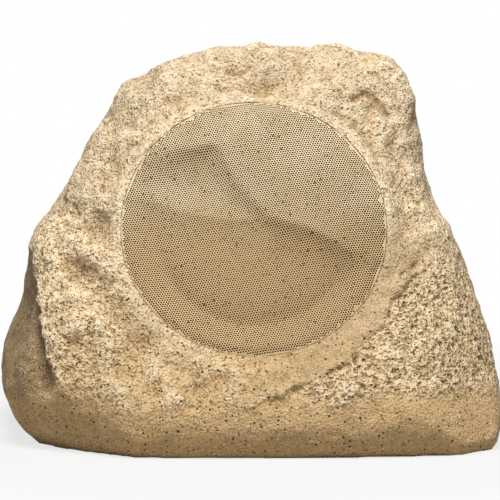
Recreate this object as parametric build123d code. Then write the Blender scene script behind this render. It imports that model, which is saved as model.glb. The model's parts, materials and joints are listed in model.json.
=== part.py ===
from build123d import *
import math
import os

os.makedirs("parts", exist_ok=True)

# Rock-shaped garden loudspeaker: a hollow stone-filled resin moulding with a pressed grille,
# an eight inch two-way driver behind it, a crossover on the base plate and a rear cable gland.
# Millimetres and degrees. +Z is up, the grille faces -Y, and the rock stands on z = 0.

# Rock shell
ROCK_WIDTH = 400.0
ROCK_DEPTH = 320.0
ROCK_HEIGHT = 306.0
WALL = 7.0
ROCK_SIDES = 36
CAVITY_SIDES = 18
FRONT_SQUARENESS = 4.4
BACK_SQUARENESS = 2.6

# Each outline of the rock: its height, then how far it reaches left, right, to the front and
# to the back, as shares of the rock's height, half width and half depth
OUTLINES = (
    (0.000, 0.875, 0.970, 0.930, 0.935),
    (0.040, 0.940, 0.985, 0.985, 0.980),
    (0.090, 0.970, 0.998, 0.995, 1.000),
    (0.140, 0.990, 0.993, 0.965, 1.000),
    (0.180, 0.997, 0.978, 0.905, 0.997),
    (0.230, 0.982, 0.965, 0.840, 0.990),
    (0.305, 0.938, 0.928, 0.765, 0.970),
    (0.395, 0.908, 0.884, 0.680, 0.935),
    (0.485, 0.880, 0.830, 0.595, 0.885),
    (0.565, 0.800, 0.768, 0.515, 0.830),
    (0.645, 0.722, 0.712, 0.435, 0.755),
    (0.740, 0.645, 0.688, 0.345, 0.660),
    (0.820, 0.570, 0.672, 0.265, 0.550),
    (0.895, 0.490, 0.655, 0.170, 0.440),
    (0.955, 0.320, 0.610, 0.070, 0.340),
    (1.000, 0.060, 0.420, -0.070, 0.240),
)

# Swells and hollows of the rock: place as shares of half width, half depth and height, then
# spread and height, with a hollow as a negative height
SWELLS = (
    ((-0.80, -0.90, 0.03), 32.0, -25.0),
    ((0.90, -0.92, 0.03), 26.0, 15.0),
    ((-0.97, -0.30, 0.28), 36.0, -15.0),
    ((-0.86, -0.62, 0.31), 20.0, 8.0),
    ((-0.76, -0.72, 0.42), 26.0, 9.0),
    ((-0.95, 0.25, 0.20), 40.0, 2.5),
    ((-0.30, -0.85, 0.19), 26.0, -5.0),
    ((0.45, -0.82, 0.24), 34.0, 6.0),
    ((0.80, -0.55, 0.42), 32.0, -7.0),
    ((0.60, -0.30, 0.86), 24.0, 5.0),
    ((-0.35, -0.25, 0.90), 26.0, 6.0),
    ((-0.62, -0.35, 0.64), 30.0, -6.0),
    ((0.95, 0.35, 0.35), 40.0, -9.0),
    ((-0.45, 0.85, 0.45), 45.0, -10.0),
    ((0.40, 0.80, 0.60), 40.0, 8.0),
)

# Flats struck off the rock: the way each one faces and how deep it bites
FLATS = (
    ((-0.62, -0.22, 0.75), 9.0),
    ((0.70, -0.20, 0.68), 4.0),
    ((0.10, 0.62, 0.78), 14.0),
    ((0.56, -0.72, 0.41), 11.0),
    ((-0.58, -0.62, 0.53), 10.0),
    ((-0.62, 0.74, 0.26), 12.0),
    ((0.70, 0.66, 0.27), 12.0),
    ((0.94, 0.02, 0.34), 5.0),
)

# Grille, a pressed and perforated steel sheet with its edge turned back
GRILLE_RADIUS = 103.0
GRILLE_CLEARANCE = 0.3
GRILLE_SHEET = 1.2
GRILLE_CROWN = 3.0
SCARP_HEIGHT = 9.0
SCARP_WIDTH = 30.0
# The foot of the scarp across the grille, as (across, up) shares of the grille's radius
SCARP_LINE = ((-1.00, 0.38), (-0.30, 0.42), (0.08, -0.08), (0.40, -0.34), (1.00, -0.40))
# Rings of corners of the pressed relief, as shares of the grille's radius, and their counts
RELIEF_RING_SHARES = (0.26, 0.52, 0.78, 1.10)
RELIEF_RING_COUNTS = (6, 12, 24, 24)

# Collar of the rock round the grille, and the tunnel to the driver's seat
BAFFLE_TILT = 25.0
COLLAR_DISTANCE = 84.0
COLLAR_CENTRE_HEIGHT = 168.5
COLLAR_HEIGHT = 26.0
COLLAR_LAND = 5.0
COLLAR_FLARE = 40.0
COLLAR_FLARE_SPREAD = 30.0
GRILLE_SEAT_HEIGHT = 14.0
GRILLE_SEAT_WIDTH = 3.0
TUNNEL_WALL = 7.0
BAFFLE_THICKNESS = 12.0
CUTOUT_CLEARANCE = 2.5

# Driver
# The flange stays this far inside the grille's edge
FLANGE_MARGIN = 5.0
FLANGE_THICKNESS = 4.0
GASKET_THICKNESS = 2.0
SHELF_STEP = 2.0
SHELF_WIDTH = 6.5
RIM_WIDTH = 8.0
BASKET_WALL = 3.0
SPIDER_DEPTH = 48.0
SPIDER_SHELF_WIDTH = 8.0
SPIDER_SEAT_RADIUS = 58.0
CUP_DEPTH = 14.0
BASKET_WINDOWS = 6
WINDOW_WIDTH = 40.0
WINDOW_MARGIN = 7.0
CONE_THICKNESS = 1.0
CONE_BACK = 1.6
LIP_WIDTH = 5.0
ROLL_WIDTH = 10.5
ROLL_HEIGHT = 5.0
RUBBER = 1.0
GLUE_LINE = 0.2
NECK_DEPTH = 37.0
SPIDER_CLOTH = 0.8
SPIDER_WAVE = 2.0
FORMER_RADIUS = 19.1
FORMER_WALL = 0.5
FORMER_LENGTH = 45.0
WINDING_WALL = 0.6
WINDING_LENGTH = 18.0
COIL_GAP = 0.6
TOP_PLATE_THICKNESS = 6.0
MAGNET_RADIUS = 50.0
MAGNET_THICKNESS = 15.0
MAGNET_BORE_GAP = 4.0
PLATE_STEP = 3.0
BACK_PLATE_THICKNESS = 6.0
VENT_RADIUS = 5.0

# Driver's terminal strip, on the back of the spider's shelf
STRIP_LENGTH = 22.0
STRIP_WIDTH = 16.0
STRIP_THICKNESS = 1.6

# Tweeter on its post
POST_CLEARANCE = 0.2
POST_BORE = 2.4
POST_SHOULDER_RADIUS = 9.0
POST_SHOULDER_THICKNESS = 4.0
POST_HEIGHT = 41.0
POST_FLANGE_RADIUS = 13.0
POST_FLANGE_THICKNESS = 2.0
TWEETER_RADIUS = 21.0
TWEETER_DEPTH = 16.0
TWEETER_WALL = 2.0
TWEETER_MAGNET_RADIUS = 14.0
TWEETER_MAGNET_THICKNESS = 9.0
DOME_RADIUS = 12.5
DOME_RISE = 4.5
DOME_THICKNESS = 0.6
DOME_RIM = 4.0
DOME_FACETS = 4
FACEPLATE_THICKNESS = 3.0
FACEPLATE_BEVEL = 1.0

# Base plate, its gasket and the ledge of the shell that they close on
FOOT_LIFT = 4.0
BASE_THICKNESS = 6.0
BASE_GASKET_THICKNESS = 2.0
BASE_CLEARANCE = 0.8
LEDGE_WIDTH = 16.0
LEDGE_THICKNESS = 9.0
BASE_SCREW_COUNT = 8

# Crossover
BOARD_LENGTH = 104.0
BOARD_WIDTH = 76.0
BOARD_THICKNESS = 1.6
# The board's centre stays this far in front of the rock's back
BOARD_SETBACK = 86.0
BOARD_POST_RADIUS = 5.0
BOARD_POST_HEIGHT = 10.0
BOARD_EDGE = 7.0
INDUCTOR_RADIUS = 19.0
INDUCTOR_HEIGHT = 22.0
INDUCTOR_FLANGE = 2.0
INDUCTOR_CORE_RADIUS = 10.0
INDUCTOR_WINDING_RADIUS = 17.0
CAPACITOR_RADIUS = 8.0
CAPACITOR_HEIGHT = 28.0
CAPACITOR_GAP = 3.0
RESISTOR_LENGTH = 34.0
RESISTOR_WIDTH = 10.0
RESISTOR_HEIGHT = 9.0
BLOCK_PITCH = 15.0
BLOCK_WIDTH = 12.0
BLOCK_HEIGHT = 12.0
BLOCK_WELL = 8.0
LEAD_RADIUS = 2.0
LEAD_CLEARANCE = 0.2
LEAD_RISE = 20.0

# Screws
SCREW_RADIUS = 1.9
SCREW_HEAD_RADIUS = 3.6
SCREW_HEAD_HEIGHT = 2.4
SCREW_HEAD_BEVEL = 1.0
SCREW_HOLE_CLEARANCE = 0.3
SCREW_PILOT_CLEARANCE = 0.05
SCREW_BITE = 8.0
SCREW_END_GAP = 1.0
DRIVER_SCREW_COUNT = 8

# Damping pad on the rear wall
PAD_THICKNESS = 16.0
PAD_CLEARANCE = 0.3
PAD_LOW = 100.0
PAD_HIGH = 240.0
# The pad comes this far forward of the rock's back
PAD_REACH = 90.0

# Cable gland in a pocket of the rear wall
GLAND_CENTRE_HEIGHT = 46.0
POCKET_RADIUS = 17.0
POCKET_DEPTH = 24.0
POCKET_WALL = 6.0
GLAND_RADIUS = 6.0
GLAND_HOLE_CLEARANCE = 0.2
GLAND_BORE = 3.4
GLAND_HEX = 17.0
GLAND_FLANGE = 4.0
GLAND_TAIL = 8.0
GLAND_NECK = 9.0
GLAND_NUT_THICKNESS = 5.0
GLAND_CAP_RADIUS = 8.0
GLAND_CAP_LENGTH = 15.0
GLAND_CAP_WALL = 1.8
GLAND_SEAL_LENGTH = 4.0

# How far a cutting solid reaches past what it cuts
PAST = 5.0
FAR = 120.0


# Small makers shared by the pieces below

def turned(*corners):
    """A body turned about Z from (radius, height) corners."""
    outline = Wire.make_polygon([Vector(radius, 0, height) for radius, height in corners])
    return revolve(Face(outline), Axis.Z)


def ring(inner, outer, low, high):
    """A plain ring about Z."""
    return turned((inner, low), (outer, low), (outer, high), (inner, high))


def disc(radius, low, high):
    """A plain disc about Z."""
    return turned((0, low), (radius, low), (radius, high), (0, high))


def hexagon(across_flats, low, high):
    """A hexagonal prism about Z."""
    outline = RegularPolygon(across_flats / 2, 6, major_radius=False)
    return Pos(0, 0, low) * extrude(outline, high - low)


def faceted(rings):
    """A solid of flat triangles through closed rings of corners, with flat ends."""
    faces = [Face(Wire.make_polygon(rings[0])), Face(Wire.make_polygon(rings[-1]))]
    for low, high in zip(rings, rings[1:]):
        for k in range(len(low)):
            j = (k + 1) % len(low)
            faces.append(Face(Wire.make_polygon([low[k], low[j], high[k]])))
            faces.append(Face(Wire.make_polygon([low[j], high[j], high[k]])))
    return Solid(Shell(faces))


def screw(length):
    """A pan head screw whose head stands on z = 0 and whose shank points down."""
    return turned(
        (0, -length),
        (SCREW_RADIUS, -length),
        (SCREW_RADIUS, 0),
        (SCREW_HEAD_RADIUS, 0),
        (SCREW_HEAD_RADIUS - SCREW_HEAD_BEVEL, SCREW_HEAD_HEIGHT),
        (0, SCREW_HEAD_HEIGHT),
    )


def copies(shape, places):
    """The same solid at several places, as one group."""
    return Compound([solid for place in places for solid in (place * shape).solids()])


def holes(radius, low, high, places):
    """Round cutters at several places."""
    return [place * disc(radius, low, high) for place in places]


# Rock form

def outline_point(outline, turn, inset):
    """The corner of one outline at an angle, moved in by an inset."""
    share, left, right, front, back = outline
    half_x = ROCK_WIDTH / 2 * (left + right) / 2
    half_y = ROCK_DEPTH / 2 * (front + back) / 2
    centre_x = ROCK_WIDTH / 2 * (right - left) / 2
    centre_y = ROCK_DEPTH / 2 * (back - front) / 2
    c, s = math.cos(turn), math.sin(turn)
    square = BACK_SQUARENESS if s > 0 else FRONT_SQUARENESS
    reach = (abs(c) ** square + abs(s) ** square) ** (-1 / square)
    corner = Vector(
        centre_x + (half_x - inset) * reach * c,
        centre_y + (half_y - inset) * reach * s,
        share * (ROCK_HEIGHT - inset),
    )
    swell = 0.0
    for (x, y, z), spread, height in SWELLS:
        away = corner - Vector(x * ROCK_WIDTH / 2, y * ROCK_DEPTH / 2, z * ROCK_HEIGHT)
        swell += height * math.exp(-away.length**2 / (2 * spread**2))
    return corner + Vector(c, s, 0) * swell


def outline_ring(outline, sides, inset):
    """All corners of one outline."""
    return [outline_point(outline, 2 * math.pi * k / sides, inset) for k in range(sides)]


def rock(sides, outlines, inset):
    """The rock's form, or the same form moved in by an inset."""
    skin = [corner for outline in OUTLINES for corner in outline_ring(outline, ROCK_SIDES, 0)]
    body = faceted([outline_ring(outline, sides, inset) for outline in outlines])
    for facing, bite in FLATS:
        normal = Vector(*facing).normalized()
        reach = max(corner.dot(normal) for corner in skin) - bite - inset
        flat = Plane(origin=normal * reach, z_dir=normal)
        body = split(body, bisect_by=flat, keep=Keep.BOTTOM)
    return body


def mouth(inset, low, high):
    """A prism with the outline of the rock's foot, moved in by an inset."""
    foot = outline_ring(OUTLINES[0], CAVITY_SIDES, inset)
    outline = Face(Wire.make_polygon([Vector(p.X, p.Y, low) for p in foot]))
    return extrude(outline, high - low, dir=(0, 0, 1))


# Places shared by the pieces
DRIVER_AXIS = Vector(0, -1, 0).rotate(Axis.X, -BAFFLE_TILT)
COLLAR_CENTRE = Vector(0, -COLLAR_DISTANCE, COLLAR_CENTRE_HEIGHT)
DRIVER = Plane(
    origin=COLLAR_CENTRE - DRIVER_AXIS * COLLAR_HEIGHT, x_dir=(1, 0, 0), z_dir=DRIVER_AXIS
).location
FLANGE_RADIUS = GRILLE_RADIUS - FLANGE_MARGIN
CUTOUT_RADIUS = FLANGE_RADIUS - RIM_WIDTH - CUTOUT_CLEARANCE / 2
REBATE_RADIUS = GRILLE_RADIUS + GRILLE_CLEARANCE
TUNNEL_RADIUS = REBATE_RADIUS - GRILLE_SEAT_WIDTH
DRIVER_SCREW_PLACES = PolarLocations(FLANGE_RADIUS - RIM_WIDTH / 2, DRIVER_SCREW_COUNT).locations

PLATE_TOP = FOOT_LIFT + BASE_THICKNESS
LEDGE_LOW = PLATE_TOP + BASE_GASKET_THICKNESS
BASE_SCREW_PLACES = [
    Pos(corner.X, corner.Y, 0)
    for corner in (
        outline_point(OUTLINES[0], 2 * math.pi * (k + 0.5) / BASE_SCREW_COUNT, WALL + LEDGE_WIDTH / 2)
        for k in range(BASE_SCREW_COUNT)
    )
]

REAR = max(corner.Y for corner in outline_ring(OUTLINES[3], ROCK_SIDES, 0))
GLAND = Plane(
    origin=(0, REAR - POCKET_DEPTH, GLAND_CENTRE_HEIGHT), x_dir=(1, 0, 0), z_dir=(0, 1, 0)
).location

BOARD_CENTRE_Y = ROCK_DEPTH / 2 - BOARD_SETBACK
BOARD_LOW = PLATE_TOP + BOARD_POST_HEIGHT
BOARD_TOP = BOARD_LOW + BOARD_THICKNESS
BOARD_POST_PLACES = GridLocations(
    BOARD_LENGTH - 2 * BOARD_EDGE, BOARD_WIDTH - 2 * BOARD_EDGE, 2, 2
).locations
BOARD = Pos(0, BOARD_CENTRE_Y, 0)

# Rock shell: outer form, collar, cavity, baffle housing, ledge and cable pocket
outer = rock(ROCK_SIDES, OUTLINES, 0)
collar_fill = Pos(0, 0, COLLAR_HEIGHT - COLLAR_FLARE / 2) * Cone(
    REBATE_RADIUS + COLLAR_LAND + COLLAR_FLARE_SPREAD, REBATE_RADIUS + COLLAR_LAND, COLLAR_FLARE
)
collar_cut = Pos(0, 0, COLLAR_HEIGHT + FAR / 2) * Cone(
    REBATE_RADIUS + COLLAR_LAND, REBATE_RADIUS + COLLAR_LAND + 2 * FAR, FAR
)
outer = outer + DRIVER * collar_fill - DRIVER * collar_cut
cavity = rock(CAVITY_SIDES, OUTLINES[::3], WALL) + mouth(WALL, -PAST, PAST)
housing = DRIVER * disc(REBATE_RADIUS + TUNNEL_WALL, -BAFFLE_THICKNESS, FAR) & outer
ledge = mouth(WALL / 2, LEDGE_LOW, LEDGE_LOW + LEDGE_THICKNESS)
ledge -= mouth(WALL + LEDGE_WIDTH, LEDGE_LOW, LEDGE_LOW + LEDGE_THICKNESS)
pocket_boss = GLAND * disc(POCKET_RADIUS + POCKET_WALL, -POCKET_WALL, POCKET_DEPTH + PAST) & outer
shell = outer - cavity + housing + ledge + pocket_boss
shell -= DRIVER * disc(REBATE_RADIUS, GRILLE_SEAT_HEIGHT, FAR)
shell -= DRIVER * disc(TUNNEL_RADIUS, 0, GRILLE_SEAT_HEIGHT)
shell -= DRIVER * disc(CUTOUT_RADIUS, -BAFFLE_THICKNESS - PAST, 0)
shell -= GLAND * disc(POCKET_RADIUS, 0, FAR)
shell -= GLAND * disc(GLAND_RADIUS + GLAND_HOLE_CLEARANCE, -POCKET_WALL - PAST, 0)
pilot = SCREW_RADIUS + SCREW_PILOT_CLEARANCE
shell -= [DRIVER * cutter for cutter in holes(pilot, -SCREW_BITE, 0, DRIVER_SCREW_PLACES)]
shell -= holes(pilot, LEDGE_LOW, LEDGE_LOW + SCREW_BITE, BASE_SCREW_PLACES)


# Grille: pressed sheet with a scarp across it, its turned-back edge standing on the rebate

def scarp_foot(across):
    """Height up the grille of the scarp's foot, at a place across it."""
    for (x0, y0), (x1, y1) in zip(SCARP_LINE, SCARP_LINE[1:]):
        if across <= x1:
            return y0 + (y1 - y0) * (across - x0) / (x1 - x0)
    return SCARP_LINE[-1][1]


def relief(across, up):
    """Height of the sheet over the collar, from places as shares of the grille's radius."""
    rim = max(0.0, 1 - (across**2 + up**2))
    climb = (up - scarp_foot(across)) * GRILLE_RADIUS / SCARP_WIDTH
    step = min(1.0, max(0.0, climb))
    return GRILLE_CROWN * rim + SCARP_HEIGHT * step * min(1.0, 3 * rim)


def relief_block(radius, drop):
    """Everything under the pressed sheet, from its seat up, inside a radius."""
    rings = []
    for share, count in zip(RELIEF_RING_SHARES, RELIEF_RING_COUNTS):
        corners = []
        for k in range(count):
            x = share * math.cos(2 * math.pi * k / count)
            y = share * math.sin(2 * math.pi * k / count)
            height = COLLAR_HEIGHT + relief(x, y) - drop
            corners.append(Vector(x * GRILLE_RADIUS, y * GRILLE_RADIUS, height))
        rings.append(corners)
    middle = Vector(0, 0, COLLAR_HEIGHT + relief(0, 0) - drop)
    first, edge = rings[0], rings[-1]
    faces = [
        Face(Wire.make_polygon([middle, first[k - 1], first[k]])) for k in range(len(first))
    ]
    for inner, wider in zip(rings, rings[1:]):
        ratio = len(wider) // len(inner)
        for k in range(len(wider)):
            a, b = inner[k // ratio], inner[(k // ratio + 1) % len(inner)]
            c, d = wider[k], wider[(k + 1) % len(wider)]
            last = k % ratio == ratio - 1
            faces.append(Face(Wire.make_polygon([a, c, d])))
            if last:
                faces.append(Face(Wire.make_polygon([a, d, b])))
    floor = [Vector(p.X, p.Y, GRILLE_SEAT_HEIGHT - PAST) for p in edge]
    faces.append(Face(Wire.make_polygon(floor)))
    for k in range(len(edge)):
        faces.append(Face(Wire.make_polygon([floor[k - 1], floor[k], edge[k], edge[k - 1]])))
    block = Solid(Shell(faces))
    return block & disc(radius, GRILLE_SEAT_HEIGHT - drop, FAR)


grille = relief_block(GRILLE_RADIUS, 0)
grille -= relief_block(GRILLE_RADIUS - GRILLE_SHEET, GRILLE_SHEET)

# Driver: heights along its axis, from the seat at zero
FLANGE_FRONT = GASKET_THICKNESS + FLANGE_THICKNESS
SHELF = FLANGE_FRONT - SHELF_STEP
SHELF_OUTER = FLANGE_RADIUS - RIM_WIDTH
SHELF_INNER = SHELF_OUTER - SHELF_WIDTH
SPIDER_SHELF = SHELF - SPIDER_DEPTH
CUP_RADIUS = SPIDER_SEAT_RADIUS - SPIDER_SHELF_WIDTH
CUP_FLOOR = SPIDER_SHELF - CUP_DEPTH
MOTOR_FACE = CUP_FLOOR - BASKET_WALL
MAGNET_FACE = MOTOR_FACE - TOP_PLATE_THICKNESS
YOKE_FACE = MAGNET_FACE - MAGNET_THICKNESS
MOTOR_BACK = YOKE_FACE - BACK_PLATE_THICKNESS
WINDING_RADIUS = FORMER_RADIUS + FORMER_WALL + WINDING_WALL
GAP_RADIUS = WINDING_RADIUS + COIL_GAP
POLE_RADIUS = FORMER_RADIUS - COIL_GAP
PLATE_RADIUS = MAGNET_RADIUS - PLATE_STEP
BASKET_EYE = GAP_RADIUS + MAGNET_BORE_GAP

driver_gasket = ring(CUTOUT_RADIUS, FLANGE_RADIUS, 0, GASKET_THICKNESS)
clearance_hole = SCREW_RADIUS + SCREW_HOLE_CLEARANCE
driver_gasket -= holes(clearance_hole, -PAST, PAST, DRIVER_SCREW_PLACES)

basket = turned(
    (FLANGE_RADIUS, GASKET_THICKNESS),
    (FLANGE_RADIUS, FLANGE_FRONT),
    (SHELF_OUTER, FLANGE_FRONT),
    (SHELF_OUTER, SHELF),
    (SHELF_INNER, SHELF),
    (SHELF_INNER, 0),
    (SPIDER_SEAT_RADIUS, SPIDER_SHELF),
    (CUP_RADIUS, SPIDER_SHELF),
    (CUP_RADIUS, CUP_FLOOR),
    (BASKET_EYE, CUP_FLOOR),
    (BASKET_EYE, MOTOR_FACE),
    (CUP_RADIUS + BASKET_WALL, MOTOR_FACE),
    (CUP_RADIUS + BASKET_WALL, SPIDER_SHELF - BASKET_WALL),
    (SPIDER_SEAT_RADIUS + BASKET_WALL, SPIDER_SHELF - BASKET_WALL),
    (SHELF_INNER + BASKET_WALL, 0),
    (SHELF_INNER + BASKET_WALL, GASKET_THICKNESS),
)
window_low = SPIDER_SHELF + WINDOW_MARGIN
window = Box(
    FLANGE_RADIUS - SPIDER_SEAT_RADIUS,
    WINDOW_WIDTH,
    -WINDOW_MARGIN - window_low,
    align=(Align.CENTER, Align.CENTER, Align.MIN),
)
window_places = PolarLocations((FLANGE_RADIUS + SPIDER_SEAT_RADIUS) / 2, BASKET_WINDOWS).locations
basket -= [place * Pos(0, 0, window_low) * window for place in window_places]
basket -= holes(clearance_hole, 0, FLANGE_FRONT + PAST, DRIVER_SCREW_PLACES)

driver_screws = copies(
    Pos(0, 0, FLANGE_FRONT) * screw(FLANGE_FRONT + SCREW_BITE - SCREW_END_GAP), DRIVER_SCREW_PLACES
)

lip_outer = SHELF_INNER - ROLL_WIDTH
lip_top = SHELF - GLUE_LINE
neck = FORMER_RADIUS + FORMER_WALL
neck_low = lip_top - NECK_DEPTH
cone = turned(
    (lip_outer, lip_top),
    (lip_outer - LIP_WIDTH, lip_top),
    (neck, neck_low + CONE_BACK),
    (neck, neck_low),
    (lip_outer - LIP_WIDTH + CONE_BACK, lip_top - CONE_THICKNESS),
    (lip_outer, lip_top - CONE_THICKNESS),
)

roll_middle = (lip_outer + SHELF_INNER) / 2
roll_top = SHELF + RUBBER + ROLL_HEIGHT
roll_quarter = ROLL_WIDTH / 4
surround = turned(
    (lip_outer - LIP_WIDTH, SHELF),
    (lip_outer + RUBBER, SHELF),
    (roll_middle - roll_quarter, roll_top - RUBBER),
    (roll_middle + roll_quarter, roll_top - RUBBER),
    (SHELF_INNER - RUBBER, SHELF),
    (SHELF_OUTER - GLUE_LINE, SHELF),
    (SHELF_OUTER - GLUE_LINE, SHELF + RUBBER),
    (SHELF_INNER, SHELF + RUBBER),
    (roll_middle + roll_quarter, roll_top),
    (roll_middle - roll_quarter, roll_top),
    (lip_outer, SHELF + RUBBER),
    (lip_outer - LIP_WIDTH, SHELF + RUBBER),
)

spider_inner = WINDING_RADIUS - WINDING_WALL + GLUE_LINE
spider_span = CUP_RADIUS - spider_inner
spider_path = [
    (spider_inner, 0),
    (spider_inner + 0.15 * spider_span, 0),
    (spider_inner + 0.35 * spider_span, SPIDER_WAVE),
    (spider_inner + 0.65 * spider_span, -SPIDER_WAVE),
    (spider_inner + 0.85 * spider_span, 0),
    (SPIDER_SEAT_RADIUS - GLUE_LINE, 0),
]
spider = turned(
    *[(radius, SPIDER_SHELF + height) for radius, height in spider_path],
    *[(radius, SPIDER_SHELF + height + SPIDER_CLOTH) for radius, height in reversed(spider_path)],
)

former_top = neck_low + 2 * CONE_BACK
winding_middle = MOTOR_FACE - TOP_PLATE_THICKNESS / 2
voice_coil = turned(
    (FORMER_RADIUS, former_top - FORMER_LENGTH),
    (neck, former_top - FORMER_LENGTH),
    (neck, winding_middle - WINDING_LENGTH / 2),
    (WINDING_RADIUS, winding_middle - WINDING_LENGTH / 2),
    (WINDING_RADIUS, winding_middle + WINDING_LENGTH / 2),
    (neck, winding_middle + WINDING_LENGTH / 2),
    (neck, former_top),
    (FORMER_RADIUS, former_top),
)

top_plate = ring(GAP_RADIUS, PLATE_RADIUS, MAGNET_FACE, MOTOR_FACE)
magnet = ring(BASKET_EYE, MAGNET_RADIUS, YOKE_FACE, MAGNET_FACE)
yoke = turned(
    (VENT_RADIUS, MOTOR_BACK),
    (PLATE_RADIUS, MOTOR_BACK),
    (PLATE_RADIUS, YOKE_FACE),
    (POLE_RADIUS, YOKE_FACE),
    (POLE_RADIUS, MOTOR_FACE),
    (VENT_RADIUS, MOTOR_FACE),
)

strip_top = SPIDER_SHELF - BASKET_WALL
strip_inner = CUP_RADIUS + BASKET_WALL + GLUE_LINE
terminal_strip = Pos(-strip_inner, 0, strip_top) * Box(
    STRIP_WIDTH, STRIP_LENGTH, STRIP_THICKNESS, align=(Align.MAX, Align.CENTER, Align.MAX)
)

# Tweeter: hollow post on the pole, cup, magnet, dome and clamping ring
post_radius = VENT_RADIUS - POST_CLEARANCE
post_top = MOTOR_FACE + POST_HEIGHT
tweeter_post = turned(
    (POST_BORE, MOTOR_BACK),
    (post_radius, MOTOR_BACK),
    (post_radius, MOTOR_FACE),
    (POST_SHOULDER_RADIUS, MOTOR_FACE),
    (POST_SHOULDER_RADIUS, MOTOR_FACE + POST_SHOULDER_THICKNESS),
    (post_radius, MOTOR_FACE + POST_SHOULDER_THICKNESS),
    (post_radius, post_top - POST_FLANGE_THICKNESS),
    (POST_FLANGE_RADIUS, post_top - POST_FLANGE_THICKNESS),
    (POST_FLANGE_RADIUS, post_top),
    (POST_BORE, post_top),
)
cup_rim = post_top + TWEETER_DEPTH
tweeter_cup = turned(
    (POST_BORE, post_top),
    (TWEETER_RADIUS - TWEETER_WALL, post_top),
    (TWEETER_RADIUS, post_top + TWEETER_WALL),
    (TWEETER_RADIUS, cup_rim),
    (TWEETER_RADIUS - TWEETER_WALL, cup_rim),
    (TWEETER_RADIUS - TWEETER_WALL, post_top + TWEETER_WALL),
    (POST_BORE, post_top + TWEETER_WALL),
)
tweeter_magnet = ring(
    POST_BORE,
    TWEETER_MAGNET_RADIUS,
    post_top + TWEETER_WALL,
    post_top + TWEETER_WALL + TWEETER_MAGNET_THICKNESS,
)
dome_edge = DOME_RADIUS + DOME_RIM
dome_steps = [math.radians(90 * k / DOME_FACETS) for k in range(DOME_FACETS + 1)]
dome_skin = [
    (DOME_RADIUS * math.cos(step), cup_rim + DOME_THICKNESS + DOME_RISE * math.sin(step))
    for step in dome_steps
]
dome_inside = DOME_RADIUS - DOME_THICKNESS
dome_lining = [
    (dome_inside * math.cos(step), cup_rim + DOME_RISE * math.sin(step)) for step in dome_steps
]
tweeter_dome = turned(
    (TWEETER_RADIUS - GLUE_LINE, cup_rim),
    (TWEETER_RADIUS - GLUE_LINE, cup_rim + DOME_THICKNESS),
    *dome_skin[:-1],
    (0, dome_skin[-1][1]),
    (0, dome_lining[-1][1]),
    *reversed(dome_lining[:-1]),
)
tweeter_faceplate = turned(
    (dome_edge, cup_rim + DOME_THICKNESS),
    (TWEETER_RADIUS, cup_rim + DOME_THICKNESS),
    (TWEETER_RADIUS, cup_rim + DOME_THICKNESS + FACEPLATE_THICKNESS / 2),
    (TWEETER_RADIUS - TWEETER_WALL, cup_rim + DOME_THICKNESS + FACEPLATE_THICKNESS),
    (dome_edge + FACEPLATE_BEVEL, cup_rim + DOME_THICKNESS + FACEPLATE_THICKNESS),
)

# Base: gasket and plate closing on the shell's ledge, with posts for the board
plate_inset = WALL + BASE_CLEARANCE
base_gasket = mouth(plate_inset, PLATE_TOP, LEDGE_LOW)
base_gasket -= mouth(WALL + LEDGE_WIDTH, PLATE_TOP, LEDGE_LOW)
base_gasket -= holes(clearance_hole, PLATE_TOP - PAST, LEDGE_LOW + PAST, BASE_SCREW_PLACES)
base_plate = mouth(plate_inset, FOOT_LIFT, PLATE_TOP)
base_plate += [
    BOARD * place * disc(BOARD_POST_RADIUS, PLATE_TOP, BOARD_LOW) for place in BOARD_POST_PLACES
]
base_plate -= holes(clearance_hole, FOOT_LIFT - PAST, PLATE_TOP + PAST, BASE_SCREW_PLACES)
head_room = FOOT_LIFT + SCREW_HEAD_HEIGHT + SCREW_HOLE_CLEARANCE
head_hole = SCREW_HEAD_RADIUS + SCREW_HOLE_CLEARANCE
base_plate -= holes(head_hole, FOOT_LIFT - PAST, head_room, BASE_SCREW_PLACES)
base_plate -= [
    BOARD * cutter for cutter in holes(pilot, BOARD_LOW - SCREW_BITE, BOARD_LOW, BOARD_POST_PLACES)
]
base_screw_length = LEDGE_LOW + SCREW_BITE - SCREW_END_GAP - head_room
base_screw = Pos(0, 0, head_room) * Rot(180, 0, 0) * screw(base_screw_length)
base_screws = copies(base_screw, BASE_SCREW_PLACES)

# Crossover board with its parts
board = Box(
    BOARD_LENGTH, BOARD_WIDTH, BOARD_THICKNESS, align=(Align.CENTER, Align.CENTER, Align.MIN)
)
board = BOARD * Pos(0, 0, BOARD_LOW) * board
board -= [
    BOARD * cutter
    for cutter in holes(clearance_hole, BOARD_LOW - PAST, BOARD_TOP + PAST, BOARD_POST_PLACES)
]
board_screws = copies(
    BOARD * Pos(0, 0, BOARD_TOP) * screw(BOARD_THICKNESS + SCREW_BITE - SCREW_END_GAP), BOARD_POST_PLACES
)
inductor = turned(
    (INDUCTOR_CORE_RADIUS / 2, 0),
    (INDUCTOR_RADIUS, 0),
    (INDUCTOR_RADIUS, INDUCTOR_FLANGE),
    (INDUCTOR_WINDING_RADIUS, INDUCTOR_FLANGE),
    (INDUCTOR_WINDING_RADIUS, INDUCTOR_HEIGHT - INDUCTOR_FLANGE),
    (INDUCTOR_RADIUS, INDUCTOR_HEIGHT - INDUCTOR_FLANGE),
    (INDUCTOR_RADIUS, INDUCTOR_HEIGHT),
    (INDUCTOR_CORE_RADIUS / 2, INDUCTOR_HEIGHT),
)
inductor_x = INDUCTOR_RADIUS + 2 * BOARD_EDGE - BOARD_LENGTH / 2
inductor = BOARD * Pos(inductor_x, BOARD_EDGE, BOARD_TOP) * inductor
capacitor_x = BOARD_LENGTH / 2 - BOARD_EDGE - SCREW_HEAD_RADIUS - CAPACITOR_RADIUS
capacitor_step = 2 * CAPACITOR_RADIUS + CAPACITOR_GAP
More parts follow.
